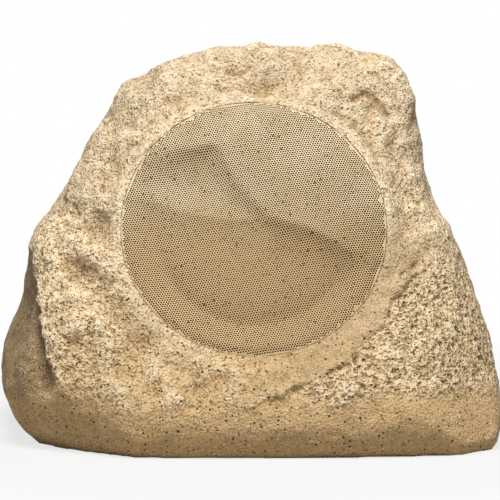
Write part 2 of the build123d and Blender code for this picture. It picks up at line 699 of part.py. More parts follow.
capacitors = copies(
    BOARD * disc(CAPACITOR_RADIUS, BOARD_TOP, BOARD_TOP + CAPACITOR_HEIGHT),
    [Pos(capacitor_x, (k - 0.5) * capacitor_step, 0) for k in range(2)],
)
resistor_y = BOARD_WIDTH / 2 - BOARD_EDGE
resistor = BOARD * Pos(0, resistor_y, BOARD_TOP) * Box(
    RESISTOR_LENGTH, RESISTOR_WIDTH, RESISTOR_HEIGHT, align=(Align.CENTER, Align.CENTER, Align.MIN)
)
block_y = BOARD_CENTRE_Y - BOARD_WIDTH / 2 + 2 * BOARD_EDGE
block_places = [Pos((k - 1) * BLOCK_PITCH, block_y, BOARD_TOP) for k in range(3)]
terminal_block = Pos(0, block_y, BOARD_TOP) * Box(
    3 * BLOCK_PITCH, BLOCK_WIDTH, BLOCK_HEIGHT, align=(Align.CENTER, Align.CENTER, Align.MIN)
)
well_low = BLOCK_HEIGHT - BLOCK_WELL
terminal_block -= holes(
    LEAD_RADIUS + LEAD_CLEARANCE, well_low, BLOCK_HEIGHT + PAST, block_places
)


# Inner wiring: insulated leads from the board's terminals to the woofer and the tweeter

def lead(*points):
    """A round lead through points, with each bend as wide as its two runs allow."""
    points = [Vector(*point) for point in points]
    radii = []
    for before, at, after in zip(points, points[1:], points[2:]):
        half_turn = math.radians((at - before).get_angle(after - at)) / 2
        run = min((at - before).length, (after - at).length)
        radii.append(0.45 * run / math.tan(half_turn))
    path = FilletPolyline(*points, radius=radii)
    section = Plane(origin=path @ 0, z_dir=path % 0) * Circle(LEAD_RADIUS)
    return sweep(section, path=path)


def on_driver(radius_x, radius_y, height):
    """A point given on the driver's axes."""
    return (DRIVER * Pos(radius_x, radius_y, height)).position


well_floor = BOARD_TOP + well_low
block_rise = BOARD_TOP + BLOCK_HEIGHT + LEAD_RISE
woofer_in, tweeter_in = [place.position for place in block_places[:2]]
vent = on_driver(0, 0, MOTOR_BACK + BACK_PLATE_THICKNESS / 2)
way_out = DRIVER_AXIS * ((tweeter_in.Y - vent.Y) / DRIVER_AXIS.Y)
tweeter_lead = lead(vent, vent + way_out, (tweeter_in.X, tweeter_in.Y, well_floor))
tag = on_driver(-strip_inner - STRIP_WIDTH / 2, 0, strip_top - STRIP_THICKNESS - GLUE_LINE)
tag_back = on_driver(-strip_inner - STRIP_WIDTH / 2, 0, MOTOR_BACK)
woofer_lead = lead(
    tag,
    tag_back,
    (woofer_in.X, woofer_in.Y, block_rise),
    (woofer_in.X, woofer_in.Y, well_floor),
)

# Damping pad, a fibre blanket lying on the rear wall
pad_zone = Pos(0, ROCK_DEPTH / 2 - PAD_REACH, PAD_LOW) * Box(
    ROCK_WIDTH, ROCK_DEPTH, PAD_HIGH - PAD_LOW, align=(Align.CENTER, Align.MIN, Align.MIN)
)
pad_back = rock(CAVITY_SIDES, OUTLINES[::3], WALL + PAD_CLEARANCE)
pad_face = rock(CAVITY_SIDES, OUTLINES[::3], WALL + PAD_CLEARANCE + PAD_THICKNESS)
damping_pad = pad_back & pad_zone
damping_pad -= pad_face

# Cable gland: body through the pocket's floor, lock nut inside, seal and dome nut outside
gland_body = disc(GLAND_RADIUS, -POCKET_WALL - GLAND_TAIL, GLAND_FLANGE + GLAND_NECK)
gland_body += hexagon(GLAND_HEX, 0, GLAND_FLANGE)
gland_body -= disc(GLAND_BORE, -FAR, FAR)
gland_nut = hexagon(GLAND_HEX, -POCKET_WALL - GLAND_NUT_THICKNESS, -POCKET_WALL)
gland_nut -= disc(GLAND_RADIUS + GLAND_HOLE_CLEARANCE, -FAR, FAR)
neck_end = GLAND_FLANGE + GLAND_NECK
seal_end = neck_end + GLAND_SEAL_LENGTH
gland_seal = ring(GLAND_BORE, GLAND_RADIUS, neck_end, seal_end)
cap_low = GLAND_FLANGE
cap_high = GLAND_FLANGE + GLAND_CAP_LENGTH
gland_cap = turned(
    (GLAND_RADIUS + GLAND_HOLE_CLEARANCE, cap_low),
    (GLAND_CAP_RADIUS, cap_low),
    (GLAND_CAP_RADIUS, cap_high - GLAND_CAP_WALL),
    (GLAND_CAP_RADIUS - GLAND_CAP_WALL, cap_high),
    (GLAND_BORE, cap_high),
    (GLAND_BORE, seal_end),
    (GLAND_RADIUS + GLAND_HOLE_CLEARANCE, seal_end),
)

# Written pieces, those of the driver and the gland moved to their places
PIECES = {
    "rock_shell": shell,
    "grille": DRIVER * grille,
    "driver_gasket": DRIVER * driver_gasket,
    "woofer_basket": DRIVER * basket,
    "driver_screws": DRIVER * driver_screws,
    "woofer_cone": DRIVER * cone,
    "surround": DRIVER * surround,
    "spider": DRIVER * spider,
    "voice_coil": DRIVER * voice_coil,
    "top_plate": DRIVER * top_plate,
    "magnet": DRIVER * magnet,
    "yoke": DRIVER * yoke,
    "terminal_strip": DRIVER * terminal_strip,
    "tweeter_post": DRIVER * tweeter_post,
    "tweeter_cup": DRIVER * tweeter_cup,
    "tweeter_magnet": DRIVER * tweeter_magnet,
    "tweeter_dome": DRIVER * tweeter_dome,
    "tweeter_faceplate": DRIVER * tweeter_faceplate,
    "base_plate": base_plate,
    "base_gasket": base_gasket,
    "base_screws": base_screws,
    "crossover_board": board,
    "board_screws": board_screws,
    "inductor": inductor,
    "capacitors": capacitors,
    "resistor": resistor,
    "terminal_block": terminal_block,
    "woofer_lead": woofer_lead,
    "tweeter_lead": tweeter_lead,
    "damping_pad": damping_pad,
    "gland_body": GLAND * gland_body,
    "gland_nut": GLAND * gland_nut,
    "gland_seal": GLAND * gland_seal,
    "gland_cap": GLAND * gland_cap,
}
for node, shape in PIECES.items():
    export_step(shape, f"parts/{node}.step")
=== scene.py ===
import json
import math

import bmesh
import bpy
import numpy as np
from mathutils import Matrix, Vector, noise
from mathutils.bvhtree import BVHTree


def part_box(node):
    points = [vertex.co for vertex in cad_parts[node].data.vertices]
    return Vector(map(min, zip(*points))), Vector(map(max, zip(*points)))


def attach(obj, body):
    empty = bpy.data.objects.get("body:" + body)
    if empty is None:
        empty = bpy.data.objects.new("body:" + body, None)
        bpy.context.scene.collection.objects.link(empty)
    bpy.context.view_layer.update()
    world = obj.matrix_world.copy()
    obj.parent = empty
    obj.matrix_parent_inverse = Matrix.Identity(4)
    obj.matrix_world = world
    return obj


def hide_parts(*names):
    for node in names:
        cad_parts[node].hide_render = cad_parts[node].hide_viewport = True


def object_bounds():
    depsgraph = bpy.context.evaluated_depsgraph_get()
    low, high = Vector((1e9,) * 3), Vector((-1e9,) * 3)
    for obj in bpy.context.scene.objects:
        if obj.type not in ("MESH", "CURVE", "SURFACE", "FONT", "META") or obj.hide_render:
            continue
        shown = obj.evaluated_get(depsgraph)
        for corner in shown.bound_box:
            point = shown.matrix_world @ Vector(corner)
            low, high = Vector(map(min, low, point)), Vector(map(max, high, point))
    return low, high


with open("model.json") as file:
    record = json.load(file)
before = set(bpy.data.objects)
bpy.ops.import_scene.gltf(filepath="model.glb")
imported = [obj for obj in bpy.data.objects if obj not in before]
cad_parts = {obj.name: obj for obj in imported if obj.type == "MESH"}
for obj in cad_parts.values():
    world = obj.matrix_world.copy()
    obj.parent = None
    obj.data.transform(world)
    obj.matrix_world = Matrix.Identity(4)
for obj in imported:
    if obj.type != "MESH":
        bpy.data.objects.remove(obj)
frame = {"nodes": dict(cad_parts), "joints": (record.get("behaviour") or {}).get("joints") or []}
nodes = frame["nodes"]
cad_box = [list(corner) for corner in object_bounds()]

# Rock shell: a hollow one-piece casting of stone-filled resin, moulded from a real sandstone
# boulder, so it has the boulder's ridges, ledge and pits. It is left as cast inside, and the
# round rebate for the grille is trimmed clean after casting.

ROCK_GRAIN = 0.0031
ROCK_TRIANGLES = 190000
DEEPEST_HOLLOW = 9.0
EYE_AZIMUTH = math.radians(2.0)
EYE_ELEVATION = math.radians(7.0)
EYE_DISTANCE = 2.5
EYE_TARGET = Vector((0.0, 0.0, 0.1415))
eye_back = Vector((
    -math.sin(EYE_AZIMUTH) * math.cos(EYE_ELEVATION),
    -math.cos(EYE_AZIMUTH) * math.cos(EYE_ELEVATION),
    math.sin(EYE_ELEVATION),
))
eye = EYE_TARGET + eye_back * EYE_DISTANCE
eye_right = Vector((math.cos(EYE_AZIMUTH), -math.sin(EYE_AZIMUTH), 0.0))
eye_up = eye_back.cross(eye_right)


def coordinates(mesh):
    """All corners of a mesh, one row each."""
    flat = np.empty(len(mesh.vertices) * 3, np.float32)
    mesh.vertices.foreach_get("co", flat)
    return flat.reshape(-1, 3).astype(float)


def facing(mesh):
    """The way the surface faces at each corner of a mesh."""
    flat = np.empty(len(mesh.vertices) * 3, np.float32)
    mesh.vertex_normals.foreach_get("vector", flat)
    return flat.reshape(-1, 3).astype(float)


def placed(name, data):
    """A new object in the scene."""
    made = bpy.data.objects.new(name, data)
    bpy.context.scene.collection.objects.link(made)
    return made


def piece(name, mesh):
    """A new object of the speaker that moves with the enclosure."""
    made = placed(name, mesh)
    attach(made, "enclosure")
    return made


def with_modifier(mesh, kind, weights=(), **settings):
    """The mesh that a modifier makes of another, with chosen corners weighted for it."""
    worker = placed("worker", mesh)
    modifier = worker.modifiers.new(kind, kind)
    if weights:
        spare = worker.vertex_groups.new(name="spare")
        modifier.vertex_group = spare.name
    for weight, chosen in weights:
        spare.add([int(k) for k in np.flatnonzero(chosen)], weight, "REPLACE")
    for name, value in settings.items():
        setattr(modifier, name, value)
    bpy.context.view_layer.update()
    made = bpy.data.meshes.new_from_object(
        worker.evaluated_get(bpy.context.evaluated_depsgraph_get())
    )
    bpy.data.objects.remove(worker)
    return made


def turned(name, outline, sides, origin, axis, across):
    """A closed body turned about an axis from (radius, height) corners, from its low middle up."""
    up = axis.cross(across)
    rim = []
    for radius, height in outline:
        for k in range(sides):
            turn = 2 * math.pi * k / sides
            out = across * math.cos(turn) + up * math.sin(turn)
            rim.append(origin + out * radius + axis * height)
    faces = [tuple(reversed(range(sides)))]
    for row in range(len(outline) - 1):
        for k in range(sides):
            j = (k + 1) % sides
            faces.append((
                row * sides + k, row * sides + j, (row + 1) * sides + j, (row + 1) * sides + k
            ))
    faces.append(tuple((len(outline) - 1) * sides + k for k in range(sides)))
    mesh = bpy.data.meshes.new(name)
    mesh.from_pydata([tuple(p) for p in rim], [], faces)
    return mesh


def joined(name, first, second):
    """Two meshes as one."""
    both = bmesh.new()
    both.from_mesh(first)
    both.from_mesh(second)
    mesh = bpy.data.meshes.new(name)
    both.to_mesh(mesh)
    both.free()
    return mesh


# Places taken from the solids: the driver's axis and the foot of the grille's turned-back edge
axis = Vector(frame["joints"][0]["axis"]).normalized()
across = Vector((1.0, 0.0, 0.0))
upward = axis.cross(across)
FOOT_TOLERANCE = 0.0002
grille_corners = coordinates(nodes["grille"].data)
grille_heights = grille_corners @ np.array(axis)
foot = grille_corners[grille_heights < grille_heights.min() + FOOT_TOLERANCE]
foot_across, foot_up = foot @ np.array(across), foot @ np.array(upward)
grille_radius = (foot_across.max() - foot_across.min()) / 2
grille_foot = (
    across * (foot_across.max() + foot_across.min()) / 2
    + upward * (foot_up.max() + foot_up.min()) / 2
    + axis * grille_heights.min()
)

# The pressed sheet, the height from which rays are dropped on to it and how far they reach
PROBE_HEIGHT = 0.06
PROBE_REACH = 0.1
pressed = BVHTree.FromPolygons(
    [tuple(p) for p in grille_corners],
    [tuple(face.vertices) for face in nodes["grille"].data.polygons],
)

# The casting with its opening filled, in even small facets, so that it can be weathered as a
# boulder is before the opening is cut
COLLAR_RISE = 0.012
PLUG_RADIUS = grille_radius + 0.001
PLUG_DEPTH = 0.020
PLUG_TOP = COLLAR_RISE - 0.0004
PLUG_SIDES = 96
plug = turned(
    "plug", ((PLUG_RADIUS, -PLUG_DEPTH), (PLUG_RADIUS, PLUG_TOP)), PLUG_SIDES,
    grille_foot, axis, across,
)
casting = with_modifier(
    joined("casting", nodes["rock_shell"].data, plug),
    "REMESH", mode="VOXEL", voxel_size=ROCK_GRAIN, adaptivity=0.0,
)


def soft_step(low, high, value):
    """0 below low, 1 above high, and smooth between."""
    share = np.clip((value - low) / (high - low), 0.0, 1.0)
    return share * share * (3 - 2 * share)


def corner_links(mesh):
    """The pairs of corners that share an edge."""
    pairs = np.empty(len(mesh.edges) * 2, np.int32)
    mesh.edges.foreach_get("vertices", pairs)
    return pairs.reshape(-1, 2)


def evened(places, links, moving, rounds):
    """Places drawn towards their neighbours, as weather rounds a stone."""
    count = np.bincount(links.ravel(), minlength=len(places)).clip(1)
    share = 0.5 * moving[:, None]
    for _ in range(rounds):
        mean = np.stack([
            np.bincount(links[:, 0], places[links[:, 1], k], len(places))
            + np.bincount(links[:, 1], places[links[:, 0], k], len(places))
            for k in range(3)
        ], 1) / count[:, None]
        places = places + share * (mean - places)
    return places


# Base plate and the gland's pocket tell the inside of the casting from its outside
POCKET_REACH = 0.021
POCKET_FLOOR = 0.0075
OFF_SURFACE = 0.004
ACROSS_CAVITY = 0.5
gland_low, gland_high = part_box("gland_body")
gland_x, gland_z = (gland_low.x + gland_high.x) / 2, (gland_low.z + gland_high.z) / 2
plate_points = [tuple(p) for p in coordinates(nodes["base_plate"].data)]
plate_faces = [tuple(face.vertices) for face in nodes["base_plate"].data.polygons]


def closed_tree(mesh):
    """The casting and its base plate, for finding what a ray meets."""
    return BVHTree.FromPolygons(
        [tuple(v.co) for v in mesh.vertices] + plate_points,
        [tuple(face.vertices) for face in mesh.polygons]
        + [tuple(k + len(mesh.vertices) for k in face) for face in plate_faces],
    )


def sides_of(mesh):
    """Which corners of the casting are inside it, and which are in the gland's pocket."""
    tree, places, ways = closed_tree(mesh), coordinates(mesh), facing(mesh)
    pocket = (
        (np.hypot(places[:, 0] - gland_x, places[:, 2] - gland_z) < POCKET_REACH)
        & (places[:, 1] > gland_low.y + POCKET_FLOOR)
    )
    meets = np.array([
        tree.ray_cast(Vector(p + OFF_SURFACE * n), Vector(n), ACROSS_CAVITY)[0] is not None
        for p, n in zip(places, ways)
    ])
    return meets & ~pocket, pocket


def weather(mesh, rounds):
    """Rounds the outside of the casting, leaving its foot and its pocket sharp."""
    inside, in_pocket = sides_of(mesh)
    places = coordinates(mesh)
    moving = np.where(inside | in_pocket, 0.0, soft_step(0.001, 0.006, places[:, 2]))
    places = evened(places, corner_links(mesh), moving, rounds)
    mesh.vertices.foreach_set("co", places.ravel().astype(np.float32))
    mesh.update()
    return inside, in_pocket


def seen(places):
    """Where places stand across and up the front view, in millimetres from its middle."""
    away = places - np.array(eye)
    depth = -(away @ np.array(eye_back)) / EYE_DISTANCE
    return np.stack([away @ np.array(eye_right), away @ np.array(eye_up)], 1) / depth[:, None] * 1000


def spot(view, x, y, reach):
    """1 at a place on the front view, fading away over a reach."""
    return np.exp(-((view[:, 0] - x) ** 2 + (view[:, 1] - y) ** 2) / reach**2)


def from_line(view, line):
    """Distance to a line drawn on the front view, and its side, plus above or to the left."""
    nearest = np.full(len(view), 1e9)
    side = np.zeros(len(view))
    for start, end in zip(line, line[1:]):
        start, run = np.array(start, float), np.subtract(end, start).astype(float)
        away = view - start
        share = np.clip(away @ run / (run @ run), 0, 1)
        gap = away - share[:, None] * run
        distance = np.hypot(gap[:, 0], gap[:, 1])
        closer = distance < nearest
        nearest = np.where(closer, distance, nearest)
        side = np.where(closer, np.sign(run[0] * away[:, 1] - run[1] * away[:, 0]), side)
    return nearest, side


def grain(places, size, octaves):
    """Natural unevenness with features of a size in metres, about -1 to 1."""
    return np.array([noise.fractal(Vector(p), 1.0, 2.0, octaves) for p in places / size])


# The weathered stone, with its front in finer facets than its back
BOULDER_ROUNDS = 20
FINE_ROUNDS = 4
FRONT_FACING = 0.04
OPENING_MARGIN = 0.003
weather(casting, BOULDER_ROUNDS)
tree = closed_tree(casting)
finer = bmesh.new()
finer.from_mesh(casting)
finer.normal_update()
in_view = []
for face in finer.faces:
    middle = face.calc_center_median()
    flat = middle - grille_foot
    beside_axis = (flat - axis * flat.dot(axis)).length
    if face.normal.dot(eye_back) > FRONT_FACING and beside_axis > grille_radius - OPENING_MARGIN:
        if tree.ray_cast(middle + face.normal * 0.001, eye_back, 1.0)[0] is None:
            in_view.append(face)
bmesh.ops.subdivide_edges(
    finer, edges=list({edge for face in in_view for edge in face.edges}), cuts=1,
    use_grid_fill=True,
)
bmesh.ops.triangulate(finer, faces=[face for face in finer.faces if len(face.verts) > 4])
finer.to_mesh(casting)
finer.free()
casting.update()
inside, in_pocket = weather(casting, FINE_ROUNDS)
points, outward = coordinates(casting), facing(casting)

# Ridges, creases and hollows of the boulder, drawn on the front view in millimetres
LEFT_RIDGE = (
    (-180, 20), (-176, 8), (-173, -4), (-169, -28), (-166, -52), (-162, -76), (-157, -98),
    (-149, -112),
)
COLLAR_CREASE = (
    (128, -25), (112, -38.5), (107, -50.5), (103.5, -62.5), (91, -70.5),
    (79, -87.5), (53, -102), (32, -111.5), (24, -115.5),
)
VALLEY = ((-140, -18), (-132, -22), (-119, -34), (-104, -53), (-94, -73), (-97, -92), (-100, -96))
LEDGE = (
    (-215, -92), (-193, -97), (-154, -107.5), (-126, -117), (-116, -125), (-99.5, -131.5),
    (-81, -131.5), (-54.5, -130), (-27, -126), (0, -123), (24, -117), (44, -119.5),
    (69, -125), (79.5, -123.5), (93, -117), (111, -111.5), (133, -118), (153, -115),
    (180, -114), (215, -108),
)
TOP_CREASE = ((83, 120.5), (92, 127), (99.5, 123), (111.5, 109))
TOP_CRACK = ((-19, 143.5), (-8, 141), (0.5, 146.5))
RIM_CRACKS = (((-94, 70.5), (-81.5, 78.5), (-76, 87.5)), ((6.5, 118), (20, 118.5)))
RIM_GROOVE = ((66, 109), (79, 103), (90, 92), (98, 80), (102, 68))
# Lumps and hollows: place across and up, reach and height
LUMPS = (
    (-25, 162, 12, 2.2), (11, 148, 17, 5.0), (34, 162, 9, -2.4), (65, 163, 15, 2.6),
    (12, 129, 14, -6.5), (60, 122, 18, 3.8), (-68, 142, 15, 3.4), (-100, 128, 12, 2.4),
    (96, 114, 8, -3.6), (122, 142, 14, 3.0), (133, 102, 7, -3.4), (128, 122, 9, 2.6),
    (-116, 106, 8, -2.6), (-147, 66, 13, 3.0), (-150, 32, 8, -4.0), (-141, 30, 6, -3.0),
    (-172, 22, 10, 2.6), (-124, 15, 13, -9.0), (-146, -56, 18, 3.0), (-104, -112, 14, 2.4),
    (-62, -104, 12, 2.4), (-128, -4, 12, 3.0), (-160, 0, 12, 3.0), (134, -14, 8, -2.4),
    (130, -78, 20, 3.0), (160, -62, 16, 2.6), (78, -112, 13, 3.8), (-40, -112, 12, -3.4),
    (-62, -120, 10, 2.8), (-10, -116, 12, 2.8), (150, 14, 13, 2.6), (137, 40, 10, -2.6),
    (100, -128, 12, -3.0), (185, -96, 12, -2.2), (-135, 88, 10, 2.4), (-112, 62, 11, -2.8),
    (-60, 118, 9, -2.4), (40, 140, 8, -2.2), (-30, 134, 9, 2.0), (112, 78, 9, -2.4),
)
# Swellings of its outline: place across and up, reach and height
EDGE_LUMPS = ((-198, -112, 24, 5.0), (-96, 128, 16, 4.0), (203, -112, 26, -3.0))
# Single deep pits: place across and up, reach
DEEP_PIT = 2.2
DEEP_PITS = (
    (-150, 40, 2.6), (-143, 36, 2.2), (-148, 22, 2.8), (-141, 30, 2.0), (-135, 24, 2.2),
    (133, -13, 2.6), (134.5, -29, 2.6), (140, -38.5, 2.4), (145, -44, 2.2), (122, -20, 2.0),
    (-54, 107, 2.2), (-120, 51, 2.4), (-123, 57, 2.0), (-95, -86, 2.4), (-86, -82, 2.2),
)
# Stains where brown wash has run together in hollows, which also paint the hollows' shade: place across
# and up, reach and strength
WASH_AND_SHADE_STAINS = (
    (-87, -64, 13, 0.50), (-124, 23, 11, 0.50), (12, 136, 17, 0.38), (-150, 38, 10, 0.55),
    (-126, 52, 9, 0.40), (97, 121, 7, 0.45), (136, -22, 10, 0.40), (-112, 4, 9, 0.30),
    (-42, -112, 12, 0.32), (58, -84, 9, 0.25), (-70, 128, 10, 0.22), (116, 84, 10, 0.25),
)
# Heights and depths of the drawn forms in millimetres, and sizes of the stone's own grain in metres
RIDGE_HEIGHT = 3.6
RIDGE_HOLLOW = 3.6
VALLEY_DEPTH = 7.5
VALLEY_WIDTH = 11.0
BACK_LEDGE = 0.042
SWELL_SIZE = 0.055
KNOB_SIZE = 0.017
RAGGED_SIZE = 0.012
CHIP_SIZE = 0.0075
WORM_SPREAD = 0.0068
PIT_SPREAD = 0.0052
CRUMB_SIZE = 0.0042
SAND_SIZE = 0.003
CREASE_SIZE = 0.03

outer = np.flatnonzero(~inside & ~in_pocket)
place, way = points[outer], outward[outer]
view = seen(place)
front = soft_step(0.0, 0.28, way @ np.array(eye_back))
from_centre = place - np.array(grille_foot)
turn_x, turn_y = from_centre @ np.array(across), from_centre @ np.array(upward)
from_axis = np.hypot(turn_x, turn_y)
from_rim = (from_axis - grille_radius) * 1000
ledge_gap, ledge_side = from_line(view, LEDGE)
over_ledge = np.where(front > 0.3, ledge_gap * ledge_side, (place[:, 2] - BACK_LEDGE) * 1000)
band = 1 - soft_step(-10, 7, over_ledge + 4 * grain(place, CREASE_SIZE, 2))
near_front = (from_centre @ np.array(axis) > -0.03) & (place[:, 1] < 0.02)
collar = np.where(near_front, 1 - soft_step(3, 16, from_rim), 0.0)
ragged = view + 3.0 * np.stack([
    grain(place, RAGGED_SIZE, 3), grain(place + 5.0, RAGGED_SIZE, 3),
], 1)
crease_gap, crease_side = from_line(ragged, COLLAR_CREASE)
low_right = soft_step(-0.02, 0.03, turn_x) * soft_step(0.02, -0.03, turn_y)
past_crease = soft_step(-2, 5, crease_gap * crease_side)
smooth_collar = collar + low_right * (1 - past_crease) * soft_step(45, 30, from_rim)
pitted_facet = past_crease * front * soft_step(20, 60, view[:, 0]) * soft_step(0, -30, view[:, 1])
pitted_facet *= 1 - band
ridge_gap, ridge_side = from_line(ragged, LEFT_RIDGE)
left_of_ridge = soft_step(-2, 4, -ridge_gap * ridge_side) * soft_step(-124, -108, view[:, 1])
left_of_ridge *= soft_step(-150, -165, view[:, 0]) * soft_step(24, 8, view[:, 1])
crust = np.exp(-((ridge_gap / 16) ** 2)) * (1 - left_of_ridge) * front
left_bulge = soft_step(-95, -115, view[:, 0]) * soft_step(60, 20, view[:, 1]) * front
coarse = np.clip(0.45 + 0.55 * pitted_facet + 0.5 * crust + 0.25 * left_bulge, 0, 1)
coarse *= (1 - 0.75 * band) * (1 - 0.6 * np.clip(smooth_collar, 0, 1)) * (1 - 0.7 * left_of_ridge)

raised = np.zeros(len(place))
for x, y, reach, height in LUMPS:
    raised += height * spot(view, x, y, reach)
for x, y, reach in DEEP_PITS:
    raised -= DEEP_PIT * np.exp(-(((view[:, 0] - x) ** 2 + (view[:, 1] - y) ** 2) / reach**2) ** 2)
raised += RIDGE_HEIGHT * np.exp((3 - np.hypot(ridge_gap, 3)) / 10) * (1 - left_of_ridge)
raised -= (
    RIDGE_HOLLOW * left_of_ridge * soft_step(0, 5, ridge_gap) * soft_step(20, 10, ridge_gap)
)
crease_depth = 2.6 + 2.0 * grain(place + 9.0, CREASE_SIZE, 2)
raised += np.where(
    crease_side < 0, 1.2 * np.exp(-crease_gap / 30),
    1.2 - crease_depth * soft_step(0, 4, crease_gap) * np.exp(-crease_gap / 16)
    - 1.2 * soft_step(0, 12, crease_gap),
)
raised += 0.9 * np.exp(-(((over_ledge - 7) / 9) ** 2)) * (1 - left_of_ridge)
# Brown wash along the creases and cracks and stains in the hollows: partly real wash, partly painted
# shade
wash_and_shade = np.zeros(len(place))
for crease, depth, width, wash in (
    (TOP_CREASE, 4.2, 2.8, 0.8), (TOP_CRACK, 2.0, 1.8, 0.8),
    (VALLEY, VALLEY_DEPTH, VALLEY_WIDTH, 0.0), (RIM_GROOVE, 1.2, 3.0, 0.45),
    *((crack, 1.3, 1.5, 0.6) for crack in RIM_CRACKS),
):
    share = np.exp(-((from_line(view, crease)[0] / width) ** 2))
    raised -= depth * share
    wash_and_shade = np.maximum(wash_and_shade, wash * share * front)
for x, y, reach, strength in WASH_AND_SHADE_STAINS:
    wash_and_shade = np.maximum(wash_and_shade, strength * spot(ragged, x, y, reach) * front)
raised *= front
towards_eye = soft_step(-0.5, -0.1, way @ np.array(eye_back))
for x, y, reach, height in EDGE_LUMPS:
    raised += height * spot(view, x, y, reach) * towards_eye
raised += np.where(near_front, 0.6 * np.exp(-((from_rim / 7) ** 2)), 0.0)

swell = 2.2 * grain(place, SWELL_SIZE, 3)
swell += (1.0 + 1.5 * front) * grain(place + 7.0, KNOB_SIZE, 2)
swell *= (1 - 0.75 * collar) * (1 - 0.55 * band) * (1 - 0.6 * pitted_facet)
chips = grain(place + 3.0, CHIP_SIZE, 2)
pits = np.array([
    noise.voronoi(Vector(p))[0][0] for p in (place + 0.0010 * chips[:, None]) / PIT_SPREAD
])
pitted = soft_step(0.40, 0.10, pits) * coarse
worms = np.array([
    noise.voronoi(Vector(p))[0][0] for p in (place + 0.0020 * chips[:, None]) / WORM_SPREAD
])
wormed = soft_step(0.40, 0.14, worms) * pitted_facet
texture = coarse * (1.4 - 0.6 * pitted_facet) * chips
texture += 0.5 * coarse * grain(place, CRUMB_SIZE, 1)
texture -= 1.1 * pitted * (1 - 0.7 * pitted_facet) + 1.8 * wormed
texture += 0.12 * grain(place, SAND_SIZE, 1)
# Wash along the collar's crease, which also paints the crease's shade
in_crease = np.exp(-((crease_gap / 2.2) ** 2))
in_crease = in_crease * soft_step(-0.1, 0.5, grain(place + 9.0, 0.02, 2)) * front
pitted = np.maximum.reduce([pitted, wormed, 0.8 * in_crease, wash_and_shade])
relief_height = raised * (1 - 0.35 * collar) + swell + texture
held_hollow = -DEEPEST_HOLLOW * np.tanh(-relief_height / DEEPEST_HOLLOW)
relief_height = np.where(relief_height < 0, held_hollow, relief_height)
relief_height *= soft_step(0.0005, 0.012, place[:, 2])
in_opening = near_front & (from_centre @ np.array(axis) > -0.002)
relief_height *= np.where(in_opening, soft_step(-4, 0.5, from_rim), 1.0)
points[outer] += way * (relief_height / 1000)[:, None]

# The collar is lifted level with the edge of the pressed sheet all round
EDGE_INSET = 0.0015
moved = points[outer] - np.array(grille_foot)
edge_turns = np.radians(np.arange(-180, 181, 10))
edge_levels, collar_levels = [], []
at_edge = near_front & (np.abs(from_rim - 0.8) < 1.6) & (moved @ np.array(axis) > 0.006)
for edge_turn in edge_turns:
    out = across * math.cos(edge_turn) + upward * math.sin(edge_turn)
    start = grille_foot + out * (grille_radius - EDGE_INSET) + axis * PROBE_HEIGHT
    edge_levels.append(PROBE_HEIGHT - pressed.ray_cast(start, -axis, PROBE_REACH)[3])
    beside = np.cos(np.arctan2(turn_y, turn_x) - edge_turn) > math.cos(math.radians(8))
    beside &= at_edge
    collar_levels.append(np.median(moved[beside] @ np.array(axis)))
lift = np.interp(np.arctan2(turn_y, turn_x), edge_turns, np.subtract(edge_levels, collar_levels))
lift += 0.0001 * grain(place, 0.018, 2) - 0.0002 * turn_y / from_axis
lift *= np.where(near_front, soft_step(20, 1, from_rim), 0.0) * (moved @ np.array(axis) > 0.002)
points[outer] += np.outer(lift, axis)

# The inner wall follows the hollows, so that the wall keeps its thickness
inner = np.flatnonzero(inside)
inner_view = seen(points[inner])
dent = np.zeros(len(inner))
for x, y, reach, height in LUMPS:
    dent += min(height, 0) * spot(inner_view, x, y, reach)
dent -= VALLEY_DEPTH * np.exp(-((from_line(inner_view, VALLEY)[0] / VALLEY_WIDTH) ** 2))
dent *= soft_step(0.1, 0.5, outward[inner] @ -np.array(eye_back))
points[inner] += np.outer(dent / 1000, eye_back)
points[:, 2] = np.maximum(points[:, 2], 0.0)
casting.vertices.foreach_set("co", points.ravel().astype(np.float32))

# What the paint needs to know of each place: where it is pitted, coarse, proud or hollow (for painted
# highlights and painted shade) or in painted shade
links, moving = corner_links(casting), np.where(inside | in_pocket, 0.0, 1.0)
smoothed = evened(points, links, moving, 8)
broadly = evened(smoothed, links, moving, 60)
broad = np.sum((smoothed - broadly) * outward, 1)
# Proud places get painted highlight and hollow ones painted shade; the broad part deepens the large lumps
# and hollows
proud = 380 * np.sum((points - smoothed) * outward, 1) + np.where(broad < 0, 480, 240) * broad
proud = np.clip(0.5 + proud, 0, 1)[outer]
# The lower right of the collar is made darker, and the face left of the ridge gets painted shade, darkest
# next to the ridge, through the band's browner paint and the shade mix
darker_lower_collar = low_right * (1 - past_crease) * soft_step(45, 20, from_rim) * near_front
band = np.maximum.reduce([band, 0.9 * left_of_ridge, 0.95 * darker_lower_collar])
ridge_shade_and_darker_collar = left_of_ridge * (0.55 + 0.45 * np.exp(-ridge_gap / 9))
ridge_shade_and_darker_collar = np.maximum(ridge_shade_and_darker_collar, 0.16 * darker_lower_collar)
for name, values, in_the_pocket in (
    ("painted", 1.0, 1.0), ("pitted", pitted, 0.0), ("coarse", coarse, 0.2), ("band", band, 0.6),
    ("proud", proud, 0.5), ("facet", pitted_facet, 0.0), ("shade", ridge_shade_and_darker_collar, 0.0),
):
    whole = np.zeros(len(points), np.float32)
    whole[outer] = values
    whole[in_pocket] = in_the_pocket
    casting.attributes.new(name, "FLOAT", "POINT").data.foreach_set("value", whole)
casting.update()

